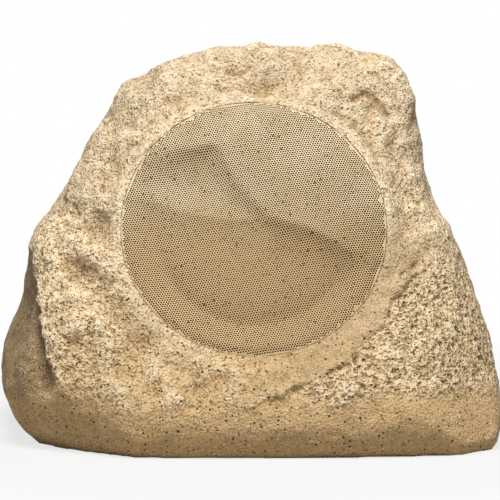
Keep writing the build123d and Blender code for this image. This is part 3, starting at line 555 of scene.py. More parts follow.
# The inside keeps few facets, and the opening is cut: rebate, tunnel and driver's cutout
BACK_FACING = 0.05
BACK_WEIGHT = 0.1
front_all = np.zeros(len(points))
front_all[outer] = front
casting = with_modifier(
    casting, "DECIMATE", ((1.0, inside), (BACK_WEIGHT, ~inside & (front_all < BACK_FACING))),
    use_collapse_triangulate=True,
    ratio=ROCK_TRIANGLES / sum(len(face.vertices) - 2 for face in casting.polygons),
)
REBATE_RADIUS = grille_radius + 0.0003
LIP_RADIUS = grille_radius + 0.00005
TUNNEL_RADIUS = grille_radius - 0.0027
CUTOUT_RADIUS = grille_radius - 0.01425
SEAT_DEPTH = 0.014
CUTOUT_DEPTH = 0.045
LIP_FOOT = COLLAR_RISE - 0.004
LIP_TOP = COLLAR_RISE - 0.003
PAST_FRONT = 0.09
OPENING_SIDES = 192
opening_mesh = turned(
    "opening",
    (
        (CUTOUT_RADIUS, -CUTOUT_DEPTH), (CUTOUT_RADIUS, -SEAT_DEPTH), (TUNNEL_RADIUS, -SEAT_DEPTH),
        (TUNNEL_RADIUS, 0.0), (REBATE_RADIUS, 0.0), (REBATE_RADIUS, LIP_FOOT),
        (LIP_RADIUS, LIP_TOP), (LIP_RADIUS, PAST_FRONT),
    ),
    OPENING_SIDES, grille_foot, axis, across,
)
opening_cutter = placed("opening", opening_mesh)
casting = with_modifier(
    casting, "BOOLEAN", operation="DIFFERENCE", solver="MANIFOLD", object=opening_cutter
)
bpy.data.objects.remove(opening_cutter)
standing = coordinates(casting)
standing[:, 2] = np.maximum(standing[:, 2], 0.0)
casting.vertices.foreach_set("co", standing.ravel().astype(np.float32))
casting.update()
casting.name = "rock_skin"
for face in casting.polygons:
    face.use_smooth = True
rock_skin = piece("rock_skin", casting)
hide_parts("rock_shell")


def math_node(operation, swapped=False):
    """The operator that adds one Math node."""
    def apply(self, other):
        pair = (other, self) if swapped else (self, other)
        return self.finish.node("ShaderNodeMath", {"operation": operation}, dict(enumerate(pair)))
    return apply


class Value:
    """A socket of a finish, on which arithmetic adds Math nodes."""

    def __init__(self, finish, socket):
        self.finish = finish
        self.socket = socket

    __add__, __radd__ = math_node("ADD"), math_node("ADD", True)
    __sub__, __rsub__ = math_node("SUBTRACT"), math_node("SUBTRACT", True)
    __mul__, __rmul__ = math_node("MULTIPLY"), math_node("MULTIPLY", True)


def colour(red, green, blue):
    """A colour as seen, 0 to 255, as the light it stands for."""
    light = [
        c / 12.92 if c <= 0.04045 else ((c + 0.055) / 1.055) ** 2.4
        for c in (red / 255, green / 255, blue / 255)
    ]
    return (*light, 1.0)


class Finish:
    """A surface finish made of shader nodes that end in one principled surface."""

    def __init__(self, name, **surface):
        self.material = bpy.data.materials.new(name)
        self.material.use_nodes = True
        self.tree = self.material.node_tree
        self.surface = self.tree.nodes["Principled BSDF"]
        self.put(self.surface, {key.replace("_", " "): value for key, value in surface.items()})
        self.place = self.node("ShaderNodeTexCoord", {}, {}, "Object")

    def put(self, node, sockets):
        """Sets or links the sockets of a node."""
        for key, value in sockets.items():
            if isinstance(value, Value):
                self.tree.links.new(value.socket, node.inputs[key])
            else:
                node.inputs[key].default_value = value

    def node(self, kind, settings, sockets, output=0):
        """Adds a node: its settings first, then the values or links of its sockets."""
        node = self.tree.nodes.new(kind)
        for key, value in settings.items():
            if key == "stops":
                ramp = node.color_ramp.elements
                while len(ramp) < len(value):
                    ramp.new(1.0)
                for stop, (position, shade) in zip(ramp, value):
                    stop.position, stop.color = position, shade
            else:
                setattr(node, key, value)
        self.put(node, sockets)
        return Value(self, node.outputs[output])

    def mottle(self, size, detail=2.0, rough=0.5, output="Fac"):
        """Cloudy unevenness, 0 to 1, with features of a size in metres."""
        return self.node("ShaderNodeTexNoise", {}, {
            "Vector": self.place, "Scale": 1 / size, "Detail": detail, "Roughness": rough,
        }, output)

    def warped(self, size, reach):
        """The place on the piece, pushed about, so that cells lose their roundness."""
        push = self.mottle(size, 2.0, 0.5, "Color")
        return self.node("ShaderNodeVectorMath", {"operation": "MULTIPLY_ADD"}, {
            0: push, 1: (2 * reach,) * 3, 2: self.place,
        })

    def clamp(self, value, low, high):
        """0 below low and 1 above high."""
        return self.node("ShaderNodeMapRange", {"interpolation_type": "SMOOTHSTEP"}, {
            "Value": value, "From Min": low, "From Max": high,
        })

    def mix(self, share, first, second):
        """One colour turning into another."""
        return self.node("ShaderNodeMix", {"data_type": "RGBA"}, {0: share, 6: first, 7: second}, 2)

    def specks(self, size, spread, fill, place):
        """Specks of about a size in metres, on cells of a spread, in a share of them."""
        cells = {"Vector": place, "Scale": 1 / spread}
        near = self.node("ShaderNodeTexVoronoi", {}, cells, "Distance")
        cell = self.node("ShaderNodeTexVoronoi", {}, cells, "Color")
        chosen = self.node("ShaderNodeSeparateColor", {}, {"Color": cell}, "Red")
        scale = self.node("ShaderNodeSeparateColor", {}, {"Color": cell}, "Green")
        reach = (scale * 0.45 + 0.55) * self.clamp(chosen, 1 - fill, 1.02 - fill) * (size / 2 / spread)
        return self.clamp(reach - near, 0.0, 0.07)

    def bump(self, height, depth):
        """A fine relief of a depth in metres."""
        return self.node("ShaderNodeBump", {}, {
            "Height": height, "Distance": depth, "Strength": 1.0,
        })

    def attribute(self, name):
        """A value carried by the corners of the mesh."""
        return self.node("ShaderNodeAttribute", {"attribute_name": name}, {}, "Fac")

    def done(self, **sockets):
        """Links what varies to the surface and gives the material."""
        self.put(self.surface, {key.replace("_", " "): value for key, value in sockets.items()})
        return self.material


# Sandstone paint: cream, earth brown towards the foot, sponged with tan, washed brown in the pits, then
# spattered with dark specks while wet. Proud places are paler and hollows tan, partly dry brushing and
# sponging, partly painted highlight and painted shade; faces turned downwards, the face left of the
# ridge, creases and stained hollows carry painted shade
STONE_BY_HEIGHT = (
    (0.00, colour(214, 180, 128)), (0.08, colour(211, 178, 127)), (0.17, colour(205, 174, 126)),
    (0.30, colour(230, 203, 159)), (0.55, colour(241, 218, 178)), (0.90, colour(214, 193, 159)),
)
STONE_PALE = colour(243, 226, 193)
STONE_TAN = colour(178, 142, 92)
STONE_LOW = colour(184, 149, 100)
STONE_WASH = colour(118, 84, 36)
STONE_FLECK = colour(124, 88, 34)
STONE_SPECK = colour(78, 53, 6)
STONE_FACET = colour(243, 217, 172)
STONE_PAINTED_SHADE = colour(66, 46, 20)
BED_STRETCH = (70.0, 70.0, 150.0)
STONE_RELIEF = 0.0040
RESIN = colour(22, 21, 20)

stone = Finish("sandstone", Roughness=0.9)
coarse_here = stone.attribute("coarse")
band_here = stone.attribute("band")
pit_wash_and_shade_here = stone.attribute("pitted")
proud_here = stone.attribute("proud")
lean_here = stone.node("ShaderNodeTexCoord", {}, {}, "Normal")
lean_here = stone.node("ShaderNodeSeparateXYZ", {}, {"Vector": lean_here}, "Z")
upward_here = stone.node("ShaderNodeSeparateXYZ", {}, {"Vector": stone.place}, "Z")
patches = stone.mottle(0.026, 3.0)
grit = stone.mottle(0.0042, 2.0, 0.6)
stone_height = upward_here * (1 / cad_box[1][2]) + patches * 0.2 - 0.1
stone_colour = stone.node("ShaderNodeValToRGB", {"stops": STONE_BY_HEIGHT}, {"Fac": stone_height})
# Paler on proud places: partly dry brushing, partly painted highlight
brushed_and_painted_highlight = stone.clamp(proud_here + (grit - 0.5) * 0.5, 0.5, 0.95)
facet_here = stone.attribute("facet")
stone_colour = stone.mix(facet_here * 0.65, stone_colour, STONE_FACET)
stone_colour = stone.mix(brushed_and_painted_highlight * (0.5 - band_here * 0.4), stone_colour, STONE_PALE)
# Tan in hollows: partly sponged paint, partly painted shade
sponged_and_painted_shade = stone.clamp(proud_here + (grit - 0.5) * 0.6, 0.5, 0.1)
stone_colour = stone.mix(sponged_and_painted_shade * (0.45 - facet_here * 0.15), stone_colour, STONE_TAN)
# Painted shade: faces turned downwards or sideways are made browner
stone_colour = stone.mix(stone.clamp(lean_here, 0.20, -0.25) * 0.8, stone_colour, STONE_LOW)
# The foot band is browner; where the band holds the face left of the ridge this is painted shade
stone_colour = stone.mix(band_here * 0.5, stone_colour, STONE_LOW)
# Painted shade left of the ridge, and the darker lower right of the collar
stone_colour = stone.mix(stone.attribute("shade"), stone_colour, STONE_PAINTED_SHADE)
# Brown wash in the pits, creases and stained hollows: partly real wash, partly painted shade
stone_colour = stone.mix(pit_wash_and_shade_here * 0.5, stone_colour, STONE_WASH)
crevice_break = stone.clamp(stone.mottle(0.0075, 2.0), 0.42, 0.58)
for size in (0.0046, 0.0031):
    level = stone.mottle(size, 2.0, 0.5)
    level = (level - 0.5) * (level - 0.5)
    crevice = stone.clamp(level, 0.0012, 0.0002) * crevice_break
    crevice = crevice * (0.5 - band_here * 0.25 + coarse_here * 0.3)
    stone_colour = stone.mix(crevice, stone_colour, STONE_WASH)
sand = stone.mottle(0.0014, 1.0)
stone_colour = stone.mix(stone.clamp(sand, 0.54, 0.72) * 0.45, stone_colour, STONE_PALE)
stone_colour = stone.mix(stone.clamp(sand, 0.46, 0.28) * 0.5, stone_colour, STONE_TAN)
hole_place = stone.warped(0.006, 0.0013)
holes = 0.0
for spread, zone in ((0.0058, facet_here), (0.0037, coarse_here)):
    pit_cells = {"Vector": hole_place, "Scale": 1 / spread}
    from_pit = stone.node("ShaderNodeTexVoronoi", {}, pit_cells, "Distance")
    holes = stone.clamp(from_pit, 0.42, 0.16) * zone + holes
stone_colour = stone.mix(holes * 0.28, stone_colour, STONE_WASH)
low_here = stone.clamp(upward_here, 0.19, 0.09)
fleck_colour = stone.mix(low_here, STONE_FLECK, STONE_SPECK)
for size, strength in ((0.0026, 0.9), (0.0018, 0.7)):
    spots = stone.clamp(stone.mottle(size, 1.0), 0.645, 0.685)
    stone_colour = stone.mix(spots * strength * (1.0 - band_here * 0.5), stone_colour, STONE_FLECK)
speck_place = stone.warped(0.0012, 0.0004)
for size, spread, fill, strength in (
    (0.0021, 0.0037, 0.45, 0.9), (0.0026, 0.0056, 0.5, 1.0), (0.0024, 0.0042, 0.5, low_here),
):
    speck = stone.specks(size, spread, fill, speck_place)
    stone_colour = stone.mix(speck * strength, stone_colour, fleck_colour)
rare = stone.specks(0.0024, 0.0110, 0.6, speck_place)
stone_colour = stone.mix(rare, stone_colour, STONE_SPECK)
stone_colour = stone.mix(stone.attribute("painted"), RESIN, stone_colour)
crumbs = stone.mottle(0.0019, 2.0, 0.6)
bed_place = stone.node(
    "ShaderNodeVectorMath", {"operation": "MULTIPLY"}, {0: stone.place, 1: BED_STRETCH}
)
beds = stone.node("ShaderNodeTexNoise", {}, {"Vector": bed_place, "Scale": 1.0, "Detail": 2.0}, "Fac")
stone_relief = grit * (0.1 + coarse_here * 0.7) + crumbs * 0.4 + sand * 0.25 - holes * 0.36
stone_relief = stone_relief + beds * band_here * 0.4
rock_skin.data.materials.clear()
rock_skin.data.materials.append(stone.done(
    Base_Color=stone_colour, Normal=stone.bump(stone_relief, STONE_RELIEF),
))

# Grille: round steel sheet with staggered punched holes, pressed so that the boulder's scarp
# runs on across it, its edge turned back on to the rebate, painted and spattered like the rock.
# The paint closes some of the outermost holes.
HOLE_PITCH = 0.0020
HOLE_RADIUS = 0.00086
HOLE_DEPTH = 0.0008
LATTICE_TURN = math.radians(8.5)
HOLE_MARGIN = 0.0009
SHEET_EDGE = grille_radius - 0.0002
PROBE_EDGE = SHEET_EDGE - 0.001
GRID = 0.003
GRID_REACH = 0.105


def sheet_height(x, y):
    """Height of the pressed sheet over its foot, at a place across it and up it."""
    off_middle = math.hypot(x, y)
    reach = 1.0 if off_middle < PROBE_EDGE else PROBE_EDGE / off_middle
    start = grille_foot + across * (x * reach) + upward * (y * reach) + axis * PROBE_HEIGHT
    return PROBE_HEIGHT - pressed.ray_cast(start, -axis, PROBE_REACH)[3]


grid_side = np.arange(-GRID_REACH, GRID_REACH + 0.0001, GRID)
sheet = np.array([[sheet_height(x, y) for x in grid_side] for y in grid_side])


def softened(heights, rounds):
    """A grid of heights with its folds rounded."""
    for _ in range(rounds):
        wide = np.pad(heights, 1, mode="edge")
        beside = wide[2:, 1:-1] + wide[:-2, 1:-1] + wide[1:-1, 2:] + wide[1:-1, :-2]
        heights = 0.5 * heights + 0.125 * beside
    return heights


# Crests of the scarp and of the fold under it, across and up the grille in millimetres
SCARP = (
    (-112, 60), (-86, 64), (-74.5, 65), (-47, 64), (-28, 67), (-22.5, 53), (-8.5, 28.6), (12.4, 6.5),
    (45.8, -4.9), (73, -19.6), (112, -26),
)
FOLD = ((-112, 36), (-103, 32.6), (-78, 22), (-45, 9.8), (-20, 6.5), (8, 4))
SCARP_DROP = 17.0
SCARP_REACH = 19
FOLD_RISE = 6.0
FOLD_REACH = 20
WAVE_HEIGHT = 0.9
WAVE_SIZE = 38
SHEET_ROUNDS = 30
FOLD_ROUNDS = 60
grid_x, grid_y = np.meshgrid(grid_side * 1000, grid_side * 1000)
flat_grid = np.stack([grid_x.ravel(), grid_y.ravel()], 1)
scarp_gap, scarp_side = from_line(flat_grid, SCARP)
fold_gap, fold_side = from_line(flat_grid, FOLD)
over_scarp = (scarp_gap * scarp_side).reshape(grid_x.shape)
over_fold = (fold_gap * fold_side).reshape(grid_x.shape)
off_centre = np.hypot(grid_x, grid_y) / (grille_radius * 1000)
held = np.clip(4 * (1 - off_centre), 0, 1)
below_scarp = np.exp(np.minimum(over_scarp, 0) / SCARP_REACH) - 1
drop = SCARP_DROP * below_scarp * soft_step(98, 60, grid_x)
fold = np.where(
    over_fold > 0, np.exp(-over_fold / FOLD_REACH),
    1.4 * np.exp(np.minimum(over_fold, 0) / FOLD_REACH) - 0.4,
)
waves = np.array([noise.noise(Vector((x, y, 0.5)) / WAVE_SIZE) for x, y in flat_grid])
waves = waves.reshape(grid_x.shape)
folds = held * (drop + FOLD_RISE * fold * soft_step(12, -14, grid_x) + WAVE_HEIGHT * waves) / 1000
edge_hold = soft_step(0.92, 0.985, off_centre)
sheet = edge_hold * sheet + (1 - edge_hold) * (
    softened(sheet, SHEET_ROUNDS) + softened(folds, 1) - softened(folds, FOLD_ROUNDS)
)


def on_sheet(x, y):
    """Heights of the smoothed sheet at many places."""
    column, row = (x - grid_side[0]) / GRID, (y - grid_side[0]) / GRID
    i = np.clip(column.astype(int), 0, len(grid_side) - 2)
    j = np.clip(row.astype(int), 0, len(grid_side) - 2)
    s, t = column - i, row - j
    return (
        sheet[j, i] * (1 - s) * (1 - t) + sheet[j, i + 1] * s * (1 - t)
        + sheet[j + 1, i] * (1 - s) * t + sheet[j + 1, i + 1] * s * t
    )


steps = int(2.4 * SHEET_EDGE / HOLE_PITCH)
cells = {}
centres = []
for b in range(-steps, steps + 1):
    for a in range(-steps, steps + 1):
        x = HOLE_PITCH * (a + b / 2)
        y = HOLE_PITCH * b * math.sqrt(3) / 2
        if math.hypot(x, y) < SHEET_EDGE + HOLE_MARGIN:
            cells[a, b] = len(centres)
            centres.append((x, y))
lattice = np.array([
    [math.cos(LATTICE_TURN), math.sin(LATTICE_TURN)],
    [-math.sin(LATTICE_TURN), math.cos(LATTICE_TURN)],
])
centres = np.array(centres) @ lattice
angles = LATTICE_TURN + np.radians(30 + 60 * np.arange(6))
CLOSED_LEAST = 0.0006
CLOSED_MORE = 0.0030
CLOSED_PATCH = 0.009
closed_width = CLOSED_LEAST + CLOSED_MORE * np.clip([
    noise.fractal(Vector((x, y, 0.0)) / CLOSED_PATCH, 1.0, 2.0, 2) for x, y in centres
], 0, 1)
hexagon = HOLE_RADIUS * np.stack([np.cos(angles), np.sin(angles)], 1)
edge_points = (centres[:, None, :] + hexagon[None, :, :]).reshape(-1, 2)
edge_reach = np.hypot(edge_points[:, 0], edge_points[:, 1])
edge_points *= np.minimum(1.0, SHEET_EDGE / edge_reach)[:, None]
levels = on_sheet(edge_points[:, 0], edge_points[:, 1])
front_count = len(edge_points)


def in_place(flat, level):
    """Places on the grille's own axes, moved to where the grille is."""
    return (
        np.array(grille_foot) + np.outer(flat[:, 0], across) + np.outer(flat[:, 1], upward)
        + np.outer(level, axis)
    )


corners = np.concatenate([
    in_place(edge_points, levels), in_place(edge_points, levels - HOLE_DEPTH)
])
faces = []
for (a, b), k in cells.items():
    right, upper, left = cells.get((a + 1, b)), cells.get((a, b + 1)), cells.get((a - 1, b + 1))
    if right is not None:
        faces.append((6 * k + 5, 6 * right + 3, 6 * right + 2, 6 * k))
    if upper is not None:
        faces.append((6 * k, 6 * upper + 4, 6 * upper + 3, 6 * k + 1))
    if left is not None:
        faces.append((6 * k + 1, 6 * left + 5, 6 * left + 4, 6 * k + 2))
    if right is not None and upper is not None:
        faces.append((6 * k, 6 * right + 2, 6 * upper + 4))
    if upper is not None and left is not None:
        faces.append((6 * k + 1, 6 * upper + 3, 6 * left + 5))
    if math.hypot(*centres[k]) > SHEET_EDGE - closed_width[k]:
        faces.append(tuple(6 * k + s for s in range(6)))
    else:
        for s in range(6):
            t = (s + 1) % 6
            faces.append((6 * k + s, 6 * k + t, front_count + 6 * k + t, front_count + 6 * k + s))

# The turned-back edge of the sheet, from its rounded corner down to its foot and up inside
RIM_SIDES = 240
RIM_INSET = 0.0005
RIM_FOOT = -0.012
RIM_INNER = grille_radius - 0.0012
RIM_PROFILE = (
    (grille_radius - 0.00015, 0.0), (grille_radius, -0.0002),
    (grille_radius, RIM_FOOT), (RIM_INNER, RIM_FOOT), (RIM_INNER, -0.001),
)
rim_turns = 2 * math.pi * np.arange(RIM_SIDES) / RIM_SIDES
round_edge = np.stack([np.cos(rim_turns), np.sin(rim_turns)], 1)
rim_level = on_sheet(*(round_edge * (SHEET_EDGE - RIM_INSET)).T)
rim_start = len(corners)
rim_rows = []
for radius, rise in RIM_PROFILE:
    level = np.maximum(rim_level + rise, 0.0) if rise > RIM_FOOT else np.zeros(RIM_SIDES)
    rim_rows.append(in_place(round_edge * radius, level))
corners = np.concatenate([corners, *rim_rows])
for row in range(len(RIM_PROFILE)):
    after = (row + 1) % len(RIM_PROFILE)
    for k in range(RIM_SIDES):
        j = (k + 1) % RIM_SIDES
        faces.append((
            rim_start + row * RIM_SIDES + j, rim_start + row * RIM_SIDES + k,
            rim_start + after * RIM_SIDES + k, rim_start + after * RIM_SIDES + j,
        ))
grille_mesh = bpy.data.meshes.new("grille_sheet")
grille_mesh.from_pydata([tuple(p) for p in corners], [], faces)
# The hole walls darken downwards: partly bare of paint, partly painted shade inside the holes
bare_and_shaded_wall = np.zeros(len(corners), np.float32)
bare_and_shaded_wall[front_count:2 * front_count] = 1.0
grille_mesh.attributes.new("bare", "FLOAT", "POINT").data.foreach_set("value", bare_and_shaded_wall)
EDGE_PAINT = 0.0006
edge_share = np.zeros(len(corners), np.float32)
edge_share[:front_count] = (
    np.hypot(edge_points[:, 0], edge_points[:, 1])
    > SHEET_EDGE - EDGE_PAINT - np.repeat(closed_width, 6)
)
edge_share[rim_start:] = 1.0
grille_mesh.attributes.new("edge", "FLOAT", "POINT").data.foreach_set("value", edge_share)
cleaned = bmesh.new()
cleaned.from_mesh(grille_mesh)
bmesh.ops.dissolve_degenerate(cleaned, dist=1e-6, edges=cleaned.edges)
bmesh.ops.delete(cleaned, geom=[v for v in cleaned.verts if not v.link_faces], context="VERTS")
cleaned.to_mesh(grille_mesh)
cleaned.free()
grille_sheet = piece("grille_sheet", grille_mesh)
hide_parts("grille")

paint = Finish("painted_grille", Roughness=0.75)
paint_tone = paint.clamp(paint.mottle(0.03, 3.0), 0.35, 0.65)
paint_colour = paint.mix(paint_tone, colour(242, 219, 179), colour(232, 205, 161))
paint_height = paint.node("ShaderNodeSeparateXYZ", {}, {"Vector": paint.place}, "Z")
# Painted shade: the lower part of the sheet is browner
low_shade = paint.clamp(paint_height, 0.21, 0.15)
paint_colour = paint.mix(low_shade, paint_colour, colour(226, 192, 140))
spatter_place = paint.warped(0.0014, 0.0005)
for size, spread, fill, strength in ((0.0018, 0.0026, 0.6, 0.6), (0.0026, 0.0060, 0.6, 0.85)):
    spatter = paint.specks(size, spread, fill, spatter_place)
    paint_colour = paint.mix(spatter * strength, paint_colour, STONE_SPECK)
# Painted shade: the painted-shut edge is browner towards the bottom
edge_low_shade = paint.clamp(paint_height, 0.21, 0.10)
edge_colour = paint.mix(edge_low_shade, colour(208, 184, 144), colour(192, 160, 114))
paint_colour = paint.mix(paint.attribute("edge"), paint_colour, edge_colour)
# Dark brown down the hole walls: partly bare of paint, partly painted shade
bare_and_shaded_here = paint.clamp(paint.attribute("bare"), 0.0, 0.5)
paint_colour = paint.mix(bare_and_shaded_here, paint_colour, colour(82, 55, 24))
grille_sheet.data.materials.append(paint.done(
    Base_Color=paint_colour, Normal=paint.bump(paint.mottle(0.0012), 0.00008),
))


def coat(material, *names):
    """Gives solids that are shown as they are their finish."""
    for name in names:
        nodes[name].data.materials.clear()
        nodes[name].data.materials.append(material)


# Woofer frame: a basket pressed from steel sheet with six windows, powder coated satin black, and
# screwed through its flange to the baffle of the casting
powder = Finish("powder_coat", Roughness=0.6, Specular_IOR_Level=0.2)
powder_grain = powder.mottle(0.0008, 2.0)
coat(powder.done(
    Base_Color=powder.mix(powder.mottle(0.02, 3.0), colour(11, 11, 12), colour(19, 19, 20)),
    Normal=powder.bump(powder_grain, 0.00012),
), "woofer_basket")


def off_axis(finish, origin, axis):
    """Distance in metres from a line through the piece."""
    away = finish.node("ShaderNodeVectorMath", {"operation": "SUBTRACT"}, {0: finish.place, 1: origin})
    side = finish.node("ShaderNodeVectorMath", {"operation": "CROSS_PRODUCT"}, {0: away, 1: axis})
    return finish.node("ShaderNodeVectorMath", {"operation": "LENGTH"}, {0: side}, "Value")


def along(finish, origin, axis):
    """Height in metres along a line through the piece."""
    away = finish.node("ShaderNodeVectorMath", {"operation": "SUBTRACT"}, {0: finish.place, 1: origin})
    return finish.node("ShaderNodeVectorMath", {"operation": "DOT_PRODUCT"}, {0: away, 1: axis}, "Value")


def ripple(finish, distance, pitch):
    """Even waves of a pitch in metres, -1 to 1."""
    return finish.node("ShaderNodeMath", {"operation": "SINE"}, {0: distance * (2 * math.pi / pitch)})


# Woofer cone: injection moulded from mica-filled polypropylene with fine moulded rings, glued to
# the surround at its rim and to the voice coil's former at its neck
CONE_RING = 0.0032
moulded = Finish("cone_moulding", Roughness=0.7, Specular_IOR_Level=0.2)
cone_radius = off_axis(moulded, grille_foot, axis)
mica = moulded.specks(0.0006, 0.0014, 0.5, moulded.place)
cone_colour = moulded.mix(moulded.mottle(0.012, 3.0), colour(12, 12, 13), colour(19, 19, 20))
coat(moulded.done(
    Base_Color=moulded.mix(mica * 0.3, cone_colour, colour(44, 43, 41)),
    Normal=moulded.bump(ripple(moulded, cone_radius, CONE_RING), 0.00012),
), "woofer_cone")

# Rubber parts: the surround, moulded from butyl rubber, the closed-cell foam gaskets of the
# driver and of the base plate, and the gland's ring
rubber = Finish("rubber", Roughness=0.8, Specular_IOR_Level=0.15)
bloom = rubber.clamp(rubber.mottle(0.009, 4.0, 0.6), 0.4, 0.7)
coat(rubber.done(
    Base_Color=rubber.mix(bloom, colour(10, 10, 10), colour(18, 18, 17)),
    Roughness=bloom * 0.2 + 0.65, Normal=rubber.bump(rubber.mottle(0.0007, 2.0), 0.00010),
), "surround", "driver_gasket", "base_gasket", "gland_seal")

# Spider: a disc of cotton cloth dipped in phenolic resin and hot pressed into waves, glued to the
# basket's shelf and to the former
THREAD = 0.0009
cloth = Finish("dipped_cloth", Roughness=0.85)
warp = ripple(cloth, along(cloth, grille_foot, across), THREAD)
weft = ripple(cloth, along(cloth, grille_foot, upward), THREAD)
weave = warp * weft
cloth_colour = cloth.mix(cloth.clamp(weave, -0.6, 0.8), colour(128, 94, 46), colour(190, 150, 86))
cloth_stain = cloth.clamp(cloth.mottle(0.011, 3.0), 0.45, 0.75)
coat(cloth.done(
    Base_Color=cloth.mix(cloth_stain * 0.5, cloth_colour, colour(120, 84, 38)),
    Normal=cloth.bump(weave, 0.00020),
), "spider")

# Voice coil: enamelled copper wire wound in one layer on a film former, which is glued into the
# cone's neck and hangs in the magnet's gap
COIL_WIRE = 0.00042
coil_corners = coordinates(nodes["voice_coil"].data) - np.array(grille_foot)
coil_heights = coil_corners @ np.array(axis)
coil_reach = np.linalg.norm(coil_corners - np.outer(coil_heights, axis), axis=1)
winding_top = coil_heights[coil_reach > coil_reach.max() - 0.0001].max()
coil = Finish("copper_winding", Roughness=0.8, Specular_IOR_Level=0.15)
turns_of_wire = ripple(coil, along(coil, grille_foot, axis), COIL_WIRE)
wound = coil.clamp(along(coil, grille_foot, axis), winding_top + 0.0002, winding_top)
wire_colour = coil.mix(coil.clamp(turns_of_wire, -0.9, 0.3), colour(92, 44, 20), colour(200, 122, 70))
film_colour = coil.mix(coil.mottle(0.006, 2.0), colour(24, 20, 16), colour(36, 30, 24))
coat(coil.done(
    Base_Color=coil.mix(wound, film_colour, wire_colour), Metallic=wound * 0.85,
    Roughness=0.8 - wound * 0.45,
    Normal=coil.bump(turns_of_wire * wound, 0.00015),
), "voice_coil")

# Motor steel: the top plate and the yoke with its pole, turned from bar and zinc plated, glued to
# the magnet, the pole phosphated black so that it doesn't shine through the grille
TOOL_FEED = 0.00035
POLE_RADIUS = 0.0190
zinc = Finish("zinc_plate", Roughness=0.34)
motor_radius = off_axis(zinc, grille_foot, axis)
tool_mark = ripple(zinc, motor_radius, TOOL_FEED)
phosphated = zinc.clamp(motor_radius, POLE_RADIUS + 0.0004, POLE_RADIUS + 0.0002)
zinc_cloud = zinc.clamp(zinc.mottle(0.008, 4.0, 0.6), 0.35, 0.65)
zinc_colour = zinc.mix(zinc_cloud, colour(164, 167, 170), colour(190, 190, 184))
coat(zinc.done(
    Base_Color=zinc.mix(phosphated, zinc_colour, colour(20, 20, 21)), Metallic=1.0 - phosphated,
    Roughness=zinc_cloud * 0.14 + 0.27 + phosphated * 0.5, Normal=zinc.bump(tool_mark, 0.00003),
), "top_plate", "yoke")

# Magnets: rings of sintered ferrite with ground faces and dark chipped edges, one for the woofer
# and a small one in the tweeter's cup
ferrite = Finish("sintered_ferrite", Roughness=0.62)
ferrite_pores = ferrite.specks(0.0007, 0.0018, 0.6, ferrite.place)
ferrite_colour = ferrite.mix(ferrite.mottle(0.006, 4.0, 0.6), colour(50, 50, 53), colour(70, 70, 73))
coat(ferrite.done(
    Base_Color=ferrite.mix(ferrite_pores, ferrite_colour, colour(26, 26, 28)),
    Normal=ferrite.bump(ferrite_pores, -0.00020),
), "magnet", "tweeter_magnet")

# Screws of the driver and of the board: pan heads, blackened so that they don't show through the
# grille
blacking = Finish("blackened_steel", Metallic=0.8, Roughness=0.45)
worn = blacking.clamp(blacking.mottle(0.0022, 3.0), 0.55, 0.75)
coat(blacking.done(
    Base_Color=blacking.mix(worn, colour(26, 26, 28), colour(74, 72, 70)),
    Roughness=worn * -0.12 + 0.48, Normal=blacking.bump(blacking.mottle(0.0006), 0.00003),
), "driver_screws", "board_screws")

# Tweeter: a cup on a hollow post that stands on the woofer's pole, closed by a clamping ring, all
# moulded in black nylon with a fine eroded surface, like the gland's body, lock nut and cap
nylon = Finish("black_nylon", Roughness=0.7, Specular_IOR_Level=0.2)
nylon_cloud = nylon.mottle(0.010, 3.0)
coat(nylon.done(
    Base_Color=nylon.mix(nylon_cloud, colour(19, 19, 20), colour(33, 33, 33)),
    Roughness=nylon_cloud * 0.18 + 0.62, Normal=nylon.bump(nylon.mottle(0.0005, 2.0), 0.00006),
), "tweeter_post", "tweeter_cup", "tweeter_faceplate", "gland_body", "gland_nut", "gland_cap")

# Tweeter dome: woven silk pressed to shape and doped with a tacky coating, held under the ring
SILK_THREAD = 0.0005
silk = Finish("doped_silk", Roughness=0.6)
silk_weave = ripple(silk, along(silk, grille_foot, across), SILK_THREAD) * ripple(
    silk, along(silk, grille_foot, upward), SILK_THREAD
)
coat(silk.done(
    Base_Color=silk.mix(silk.mottle(0.005, 3.0), colour(20, 18, 16), colour(32, 29, 26)),
    Normal=silk.bump(silk_weave, 0.00006),
), "tweeter_dome")

# Terminal strip and terminal block: green moulded blocks with wells for the bared lead ends
green = Finish("green_moulding", Roughness=0.5)
green_cloud = green.mottle(0.007, 3.0)
coat(green.done(
    Base_Color=green.mix(green_cloud, colour(28, 104, 52), colour(44, 126, 68)),
    Roughness=green_cloud * 0.2 + 0.38, Normal=green.bump(green.mottle(0.0006), 0.00005),
), "terminal_strip", "terminal_block")

# Base plate: a flat black moulding with an eroded surface, eight sunk screw holes and four posts
# for the crossover board, screwed up against the casting's ledge on its gasket
eroded = Finish("eroded_moulding", Roughness=0.66)
scuff = eroded.clamp(eroded.mottle(0.018, 5.0, 0.65), 0.52, 0.72)
coat(eroded.done(
    Base_Color=eroded.mix(scuff, colour(37, 36, 35), colour(66, 63, 59)),
    Roughness=scuff * 0.15 + 0.6, Normal=eroded.bump(eroded.mottle(0.0011, 3.0), 0.00025),
), "base_plate")

# Base screws: zinc plated pan heads let into the base plate, a little stained by the ground
stained = Finish("stained_zinc", Metallic=0.9, Roughness=0.42)
rust = stained.clamp(stained.mottle(0.0035, 4.0, 0.65), 0.52, 0.72)
coat(stained.done(
    Base_Color=stained.mix(rust, colour(160, 162, 163), colour(122, 84, 54)),
    Roughness=rust * 0.3 + 0.36, Normal=stained.bump(rust, 0.00006),
), "base_screws")

